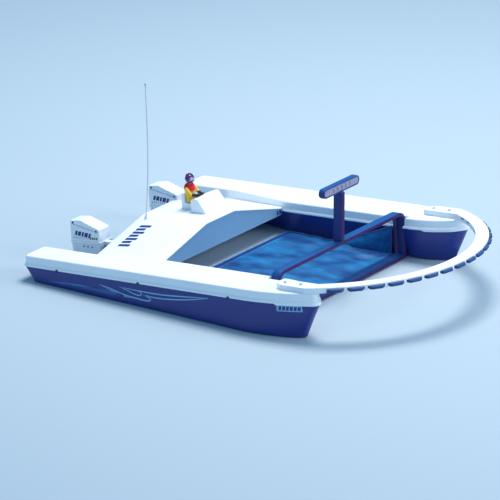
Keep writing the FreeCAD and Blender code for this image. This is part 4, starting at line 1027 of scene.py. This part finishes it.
def net_frame():
    """Blue moulded band, its upright post, and the rim inside it, with a purple strip of painted shade over the
    front faces of band and post.
    """
    band = FRAME_BAND
    section = [(0, NET_AFT + 1.3), (0, NET_FRONT - 1.3), (0.35, NET_FRONT - 0.35), (1.3, NET_FRONT),
               (band - 1.3, NET_FRONT), (band - 0.35, NET_FRONT - 0.35), (band, NET_FRONT - 1.3),
               (band, NET_AFT + 1.3), (band - 0.35, NET_AFT + 0.35), (band - 1.3, NET_AFT), (1.3, NET_AFT),
               (0.35, NET_AFT + 0.35)]
    loop = Shape().rings([band_ring(*row) for row in section], joined=True)
    make("net_band", loop, "frame_blue", body="net", nodes=["net_frame"], smooth=40)
    # Painted shade: a thin purple strip over the front faces of the band and the post, where those faces lie in
    # shade.
    edge = [(0.2, NET_FRONT - 0.7), (0.2, NET_FRONT - 0.1), (0.6, NET_FRONT + 0.2),
            (band - 0.6, NET_FRONT + 0.2), (band - 0.2, NET_FRONT - 0.1), (band - 0.2, NET_FRONT - 0.7)]
    shade_strip = Shape().rings([band_ring(*row) for row in edge], joined=True)
    crown = GRIP_LEVEL - GRIP_RADIUS
    ahead = NET_FRONT + lean(crown)
    strip = [(NET_FRONT - 0.7, FRAME_TOP - 1.4), (NET_FRONT + 0.2, FRAME_TOP - 1.4),
             (ahead + 0.2, crown - 0.6), (ahead - 0.7, crown - 0.6)]
    shade_strip.plate(strip, POST_SHIFT - POST_HALF + 0.5, POST_SHIFT + POST_HALF - 0.5, "xz")
    make("net_front_edge", shade_strip, FRONT_SHADE_PURPLE, body="net", smooth=40)
    post = [(NET_AFT, FRAME_TOP - 1), (NET_FRONT, FRAME_TOP - 1), (ahead, crown + 0.4),
            (NET_AFT + lean(crown), crown + 0.4)]
    rows = [(0, POST_HALF - 1.1), (0.3, POST_HALF - 0.35), (1.1, POST_HALF)]
    make("net_post", side_loft(Shape(), POST_SHIFT, post, 1.3, rows), "frame_blue", body="net", smooth=40)
    mouth_rim()


def mouth_rim():
    """Flange inside the band, with its screws. The bag meets it along the bottom and clears its sides."""
    foot, inner = floor_level(NET_AFT, 1.0) + FRAME_BAND, FRAME_HALF - FRAME_BAND
    top, aft = FRAME_TOP - FRAME_BAND, NET_AFT + 1.5
    outer = [(-inner + 0.1, foot + 0.1), (inner - 0.1, foot + 0.1), (inner - 0.1, top - 0.1),
             (-inner + 0.1, top - 0.1)]
    hole = [(-inner + RIM_SIDE, foot + RIM_BOTTOM), (inner - RIM_SIDE, foot + RIM_BOTTOM),
            (inner - RIM_SIDE, top - RIM_LIP), (-inner + RIM_SIDE, top - RIM_LIP)]
    corner = FRAME_CORNER - FRAME_BAND
    out_steps = ((0, aft), (0, aft + 3.4), (0.6, aft + 4))
    hole_steps = ((-0.8, aft + 4), (-0.2, aft + 3.7), (0, aft + 3), (0, aft + 0.7), (-0.7, aft))
    rings = [(rounded(outer, [1, 1, corner, corner], inset), x) for inset, x in out_steps]
    rings += [(rounded(hole, [3, 3, 8, 8], inset), x) for inset, x in hole_steps]
    shape = Shape().rings([[(x, y, z) for y, z in ring] for ring, x in rings], joined=True)
    make("net_mouth_rim", shape, "rim_purple", body="net", nodes=["net_rim"], smooth=35)
    places = [(aft + 4, side * (inner - 5.7), z) for side in (-1, 1) for z in (-38, -18, 2)]
    screws("net_rim_screws", places, FORWARD, 2.0, "rim_purple", body="net")


def foot_tape():
    """Cloth tape that wraps the netting over the rim's lower lip and the frame's bottom bar."""
    level, half = floor_level(NET_AFT, 1.0) + FRAME_BAND, FRAME_HALF - FRAME_BAND - 3
    fold = [(NET_AFT + 1.0, RIM_BOTTOM + 0.5), (NET_AFT + 5.8, RIM_BOTTOM + 0.4), (NET_AFT + 7.4, 0.9),
            (NET_FRONT - 1.8, 0.5), (NET_FRONT - 1.0, 0.2)]
    rings = []
    for k in range(81):
        y = half * (k / 40 - 1)
        pucker = 0.16 * math.sin(y * 0.41) + 0.1 * math.sin(y * 1.07)
        upper = [(x, y, level + rise + pucker * min(rise, 1)) for x, rise in fold]
        rings.append(upper + [(x, y, z - 0.4) for x, y, z in reversed(upper)])
    return make("net_foot_tape", Shape().rings(rings), TAPE_BLUE, body="net", smooth=50)


def capsule(inset):
    """The grip's long rounded outline, moved inward by inset."""
    radius = GRIP_RADIUS - inset
    return (arc((GRIP_HALF, GRIP_LEVEL), radius, -90, 90, 14)
            + arc((-GRIP_HALF, GRIP_LEVEL), radius, 90, 270, 14))


def net_grip():
    """Capsule grip with softened edges and a pale plate that carries raised chevrons."""
    middle = (NET_AFT + NET_FRONT) / 2 + lean(GRIP_LEVEL)
    front = middle + 5.3
    aft = front - GRIP_DEPTH
    steps = [(4.0, aft), (1.9, aft + 0.4), (0.6, aft + 1.4), (0.0, aft + 3.0), (0.0, front - 2.0),
             (0.3, front - 0.8), (0.8, front - 0.2), (1.2, front), (2.5, front), (2.75, front - 0.3),
             (2.75, front - 1.5), (4, front - 1.5)]
    bar = Shape().rings([[(x, y, z) for y, z in capsule(inset)] for inset, x in steps])
    make("net_grip_bar", bar, "frame_blue", body="net", nodes=["net_grip"], smooth=35)
    steps = [(2.9, front - 1.5), (2.9, front - 0.7), (3.2, front - 0.45), (4.2, front - 0.3),
             (5.4, front - 0.3)]
    plate = Shape().rings([[(x, y, z) for y, z in capsule(inset)] for inset, x in steps])
    make("net_grip_badge", plate, "plate_grey", body="net", nodes=["net_grip_plate"], smooth=35)
    marks = Shape()
    for number in range(5):
        y = 13 * number - 29
        chevron = [(y, -3.4), (y + 2.6, -3.4), (y + 5.4, 0), (y + 2.6, 3.4), (y, 3.4), (y + 2.8, 0)]
        marks.plate([(u, GRIP_LEVEL + v) for u, v in chevron], front - 0.5, front - 0.05, "yz")
    make("net_grip_chevrons", marks, GRIP_MARKS, body="net", bevel=0.1)


# ---------------------------------------------------------------- net bag
def bag_point(along, around):
    """A point of the bag and its floor's level. along runs from tail to mouth, around from hem to hem."""
    front = NET_AFT + 1.4
    x = BAG_TAIL + (front - BAG_TAIL) * along
    rise = max(0.0, (x - BAG_SHOULDER) / (front - BAG_SHOULDER))
    hem = floor_level(x, 9.0) + (3.4 - floor_level(front, 9.0)) * rise ** 1.12
    low = floor_level(x, 6.6 + 2.4 * max(0.0, (along - 0.9) * 10))
    half = BAG_HALF - 1.0 - 2.2 * math.sin(math.pi * along)
    wall = max(hem - low, 0.6)
    flat = 2 * half
    total = flat + 2 * wall
    walked = around * total
    corner = min(wall * 0.9, 22.0)
    if walked < wall:
        y, z = -half, hem - walked
    elif walked > wall + flat:
        y, z = half, low + (walked - wall - flat)
    else:
        y, z = -half + (walked - wall), low
    edge = half - abs(y)
    if edge < corner and z - low < corner:
        u, v = edge / corner, (z - low) / corner
        pull = (1 - u) * (1 - v)
        y -= math.copysign(pull * corner * 0.28, y)
        z += pull * corner * 0.28
    belly = math.sin(math.pi * min(1.0, (z - low) / max(wall, 1)))
    if edge < 1.5:
        y -= math.copysign(belly * (2.0 + 5.0 * rise), y)
    return x, y, z, low


def bag_surface(along, around):
    """The bag's point with its sags, fine ripples, and creases from the mouth's lower corners."""
    x, y, z, low = bag_point(along, around)
    side = math.copysign(1.0, y)
    fade = math.sin(math.pi * min(1.0, max(0.0, along))) ** 0.6
    from_corner = Vector((NET_AFT - x, BAG_HALF - abs(y)))
    reach = from_corner.length + 1e-6
    angle = math.atan2(from_corner.y, from_corner.x)
    crease = math.sin(angle * 11 + side * 0.9) * math.exp(-reach / 110) * min(1.0, reach / 25)
    wave = 1.5 * math.sin(x * 0.045 + y * 0.013) + 1.3 * math.sin(y * 0.038 - x * 0.021 + 1.3)
    ripple = 0.6 * math.sin(x * 0.17 + 2.2 * math.sin(y * 0.03)) + 0.45 * math.sin(y * 0.21 + x * 0.06)
    if z - low < 3.0:
        z = max(low - 2.4, z + fade * (1.0 + wave + ripple + crease * 4.5))
    else:
        y += side * fade * (-abs(ripple) * 1.4 - 0.8 - crease * 2.4)
        y = side * min(abs(y), BAG_HALF - 0.6)
    return x, y, z


def net_bag():
    """One sheet of netting from hem to hem, hemmed along its sides and mouth, sleeved over the tail rod."""
    long_cells, wide_cells = 96, 150
    grid = [[bag_surface(i / long_cells, j / wide_cells) for j in range(wide_cells + 1)]
            for i in range(long_cells + 1)]
    sheet = Shape().rings(grid, False, False, closed=False)
    bag = make("net_bag_mesh", sheet, "net_mesh", body="net", nodes=["net_bag"], smooth=180)
    hem = Shape()
    for j in (0, wide_cells):
        hem.tube([row[j] for row in grid], 1.35, 10, squash=0.75)
    hem.tube(grid[-1], 1.7, 10, squash=0.8)
    hem_piece = make("net_bag_hem", hem, HEM_BLUE, body="net", smooth=60)
    rod_x = BAG_TAIL - 2.2
    level = floor_level(rod_x, 7.0)
    rings = []
    for k in range(61):
        y = -BAG_HALF + 6 + (2 * BAG_HALF - 12) * k / 60
        swell = 2.75 + 0.18 * math.sin(y * 0.5) + 0.12 * math.sin(y * 1.3)
        rings.append([(rod_x + swell * math.cos(a), y, level + swell * math.sin(a)) for a in turns(16)])
    sleeve_piece = make("net_tail_sleeve", Shape().rings(rings), HEM_BLUE, body="net", smooth=60)
    caps = Shape()
    for side in (-1, 1):
        caps.lathe([(2.05, -6), (3.1, -5.6), (3.2, -1.2), (2.6, -0.2), (1.2, 0.3)],
                   (rod_x, side * BAG_HALF, level), (0, side, 0), 24)
    make("tail_rod_caps", caps, "rod_blue", body="net", smooth=40)
    stitches = Shape()
    for j, way in ((0, 1), (wide_cells, -1)):
        for i in range(2, long_cells - 1, 2):
            here, ahead = Vector(grid[i][j]), Vector(grid[i + 1][j])
            inward = Vector((0, way * 1.25, 0.35))
            stitches.tube([here + inward, here.lerp(ahead, 0.6) + inward], 0.3, 6)
    stitch_piece = make("net_hem_stitches", stitches, "plate_grey", body="net")
    flat_width = (2 * BAG_HALF + SHEET_EXTRA) * 0.001
    flat_length = (NET_AFT - BAG_TAIL) * 0.001
    return bag, hem_piece, sleeve_piece, stitch_piece, flat_width, flat_length


# ---------------------------------------------------------------- bumper
def bumper():
    """Barrel-faced rubber blocks along the carried rail, and dark patches of painted shade for the slots on the
    rail's inner side.
    """
    blocks = Shape()
    for number in range(BLOCK_COUNT):
        middle = BLOCK_PITCH * (number - (BLOCK_COUNT - 1) / 2)
        half = BLOCK_PITCH / 2 - 0.8
        rings = []
        for k in range(13):
            share = k / 12
            angle = math.radians(middle - half + 2 * half * share)
            end = min(1.0, 6.0 * min(share, 1 - share))
            swell = math.sin(end * math.pi / 2)
            low, high = RAIL_BASE + 0.5 + 1.4 * (1 - swell), RAIL_BASE + 7.2 - 0.6 * (1 - swell)
            outer, inner = 282.6 + 4.4 * swell, 272.0
            mid, tall = (low + high) / 2, (high - low) / 2
            profile = [(inner, high), (inner, low)]
            profile += [(outer - 4.2 + 4.4 * math.cos(b), mid + tall * math.sin(b))
                        for b in (math.radians(-90 + 18 * n) for n in range(11))]
            rings.append([(RAIL_CENTRE + r * math.cos(angle), r * math.sin(angle), z) for r, z in profile])
        blocks.rings(rings)
    make("bumper_block_row", blocks, "bumper_rubber", nodes=["bumper_blocks"], smooth=50)
    # Painted shade: each slot is a dark rubber-coloured patch standing in for the shade inside it.
    slot_shades = Shape()
    for angle in (56, 50, -50, -56):
        out = Vector((math.cos(math.radians(angle)), math.sin(math.radians(angle)), 0))
        along = Vector((-out.y, out.x, 0))
        middle = Vector((RAIL_CENTRE, 0, RAIL_TOP - 3.0)) + out * (RAIL_INNER + 0.1)
        corners = [middle + along * u + UP * v for u, v in ((-5, -1.4), (5, -1.4), (5, 1.4), (-5, 1.4))]
        slot_shades.rings([[p - out * 0.25 for p in corners], [p + out for p in corners]])
    make("rail_slot_shades", slot_shades, "seal_rubber", bevel=0.3)


# ---------------------------------------------------------------- hull graphics
def ribbon(shape, face_y, points, widths, steps=28):
    """A tapering stripe through points (x, z) on a hull's flat outer side, as a thin raised graphic."""
    way = math.copysign(1.0, face_y)
    path = [curve_at(points, k / steps) for k in range(steps + 1)]
    wide = [curve_at([(w, 0) for w in widths], k / steps).x for k in range(steps + 1)]
    upper, lower = [], []
    for k, point in enumerate(path):
        ahead = (path[min(k + 1, steps)] - path[max(k - 1, 0)]).normalized()
        out = Vector((-ahead.y, ahead.x)) * max(wide[k], 0.12) / 2
        upper.append(point + out)
        lower.append(point - out)
    outline = [(p.x, p.y) for p in upper + lower[::-1]]
    return shape.plate(outline, *sorted((face_y - way * 0.3, face_y + way * 0.16)), view="xz")


def curve_at(points, share):
    """A point on the smooth curve through points, evenly spaced in share."""
    points = [Vector(p) for p in points]
    spot = min(share, 0.99999) * (len(points) - 1)
    k = int(spot)
    t = spot - k
    a, b, c, d = (points[min(max(i, 0), len(points) - 1)] for i in (k - 1, k, k + 1, k + 2))
    return 0.5 * ((b * 2) + (c - a) * t + (a * 2 - b * 5 + c * 4 - d) * t * t
                  + (b * 3 - a - c * 3 + d) * t ** 3)


STREAK = ([(36, -23), (80, -22.6), (124, -22.8), (160, -23.8), (188, -25.4), (214, -27.0)],
          [0.4, 2.4, 4.4, 6.6, 6.0, 2.0])
WAVES = (
    ([(60, -20.9), (104, -20.3), (140, -20.5), (170, -21.8)], [0.2, 0.6, 0.8, 0.3]),
    ([(162, -13.4), (182, -16.4), (202, -21.6), (222, -26), (244, -28.4), (262, -29.8), (272, -28),
      (269, -23.4), (257, -20)], [0.5, 1.6, 2.0, 2.4, 2.6, 2.6, 2.2, 1.6, 0.5]),
    ([(168, -15.0), (188, -21.0), (208, -26), (226, -29.4)], [0.3, 1.6, 2.2, 0.6]),
    ([(206, -11.6), (220, -15.2), (234, -19.8), (249, -22), (254, -17), (246, -15.4)],
     [0.4, 1.4, 1.8, 2.0, 1.4, 0.4]),
    ([(214, -12), (248, -13.8), (296, -14.4), (350, -11), (396, -7.4)], [0.5, 1.8, 2.2, 2.0, 0.6]),
    ([(396, -7.8), (354, -15.6), (312, -20.6), (276, -21.6), (262, -18.6)], [0.6, 2.0, 2.2, 2.0, 0.5]),
)


def hull_graphics():
    """A streak that breaks into curling waves on each hull's outer side, and a barred badge near the bow."""
    for name, side in SIDES:
        face = side * HALF_BEAM
        make(name + "_hull_streak", ribbon(Shape(), face, *STREAK), STREAK_BLUE)
        waves = Shape()
        for points, widths in WAVES:
            ribbon(waves, face, points, widths)
        make(name + "_hull_waves", waves, GRAPHIC_PALE)
        badge = bow_strip(Shape(), side, (533, 577), (-2.8, -14.4), 0.0, 9, 0.25)
        make(name + "_bow_badge", badge, GRAPHIC_PALE, smooth=40)
        marks = Shape()
        for number in range(6):
            span = (536 + 6.6 * number, 540.6 + 6.6 * number)
            bow_strip(marks, side, span, (-5.0, -12.4), 1.6, 2, 0.4)
        make(name + "_bow_badge_marks", marks, GRAPHIC_DARK, smooth=40)


def hull_side(x, z, side, proud):
    """A point on the hull's outer side near the bow, found between its outline's corners."""
    ring = hull_ring(side, z / floor_level(x))
    outer = [p for p in ring if abs(p[1]) > 250 and p[0] > 300]
    outer.sort(key=lambda p: p[0])
    for a, b in zip(outer, outer[1:]):
        if a[0] <= x <= b[0]:
            share = (x - a[0]) / max(b[0] - a[0], 1e-6)
            y = a[1] + (b[1] - a[1]) * share
            return Vector((x, y + side * proud, z))
    return Vector((x, side * (HALF_BEAM + proud), z))


def bow_strip(shape, side, span, levels, slant, columns, proud):
    """A thin plate that follows the bow's curve: span is its ends, levels its top and bottom."""
    start, end = span
    top, bottom = levels
    rings = []
    for k in range(columns + 1):
        x = start + (end - start) * k / columns
        rings.append([hull_side(x + slant, top, side, proud), hull_side(x, bottom, side, proud),
                      hull_side(x, bottom, side, -0.4), hull_side(x + slant, top, side, -0.4)])
    return shape.rings(rings)


# ---------------------------------------------------------------- carried CAD pieces
def carried_pieces():
    """Pieces whose CAD shape already carries the detail: they get softened edges and their material."""
    bevels = {"bumper_rail": 1.1, "bridge_tray": 0.8, "battery_door": 0.5, "drain_plugs": 0.5,
              "foam_floats": 2.0, "battery_cells": 0.3, "battery_contacts": 0.2, "battery_door_seal": 0.3,
              "battery_holder": 0.4, "receiver_board": 0.2, "switch_body": 0.4, "net_tail_rod": 0.3}
    for name, _ in SIDES:
        bevels.update({name + "_lower_unit": 0.7, name + "_outboard_bracket": 0.5, name + "_motor": 0.3,
                       name + "_shaft_bush": 0.1, name + "_inlet_grille": 0.3, name + "_drive_shaft": 0.1,
                       name + "_prop_shaft": 0.1, name + "_prop_nut": 0.2})
    for name, bevel in bevels.items():
        finish(frame["nodes"][name], SLOTS[name], bevel)


# ---------------------------------------------------------------- stage
def stage():
    """Pale floor, a key light overhead, a soft light beyond the bow, a faint fill, and the camera."""
    bpy.ops.mesh.primitive_plane_add(size=14, location=(0, 0, -0.0004))
    floor = bpy.context.object
    floor.name = "studio_floor"
    graph = Graph("studio_floor")
    tone = linear(172, 187, 198)
    graph.set(Base_Color=graph.ramp(graph.noise(3, 3), shade(tone, 0.985), tone), Roughness=0.7)
    floor.data.materials.append(graph.material)
    world = bpy.data.worlds.new("studio")
    bpy.context.scene.world = world
    world.use_nodes = True
    world.node_tree.nodes["Background"].inputs[0].default_value = (0.34, 0.66, 1.0, 1)
    world.node_tree.nodes["Background"].inputs[1].default_value = 0.66
    bpy.context.scene.view_settings.view_transform = "Standard"
    lamps = (("key", (-0.2, 0.9, 2.8), 1.3, 90, (1.0, 0.985, 0.95)),
             ("front", (3.0, 0.9, 1.5), 1.8, 56, (0.94, 0.97, 1.0)),
             ("fill", (0.6, -3.2, 1.2), 2.4, 2, (0.5, 0.8, 1.0)))
    for name, place, size, power, colour in lamps:
        data = bpy.data.lights.new(name, "AREA")
        data.size, data.energy, data.color = size, power, colour
        lamp = bpy.data.objects.new(name, data)
        lamp.location = place
        lamp.rotation_euler = (-Vector(place)).to_track_quat("-Z", "Y").to_euler()
        bpy.context.scene.collection.objects.link(lamp)
    data = bpy.data.cameras.new("camera")
    data.lens, data.sensor_width, data.clip_end = 288.0, 36.0, 40.0
    camera = bpy.data.objects.new("camera", data)
    camera.location = (3.7405, -5.593, 2.384)
    camera.rotation_euler = [math.radians(a) for a in (90 - 19.14, 0, 34.33)]
    bpy.context.scene.collection.objects.link(camera)
    bpy.context.scene.camera = camera


hulls()
decks()
bridge()
roof_details()
fasteners()
for side_name, side_sign in SIDES:
    outboard(side_name, side_sign)
cockpit()
driver()
antenna()
net_frame()
net_grip()
TAPE = foot_tape()
BAG, HEM, SLEEVE, STITCHES, FLAT_WIDTH, FLAT_LENGTH = net_bag()
bumper()
hull_graphics()
carried_pieces()
stage()
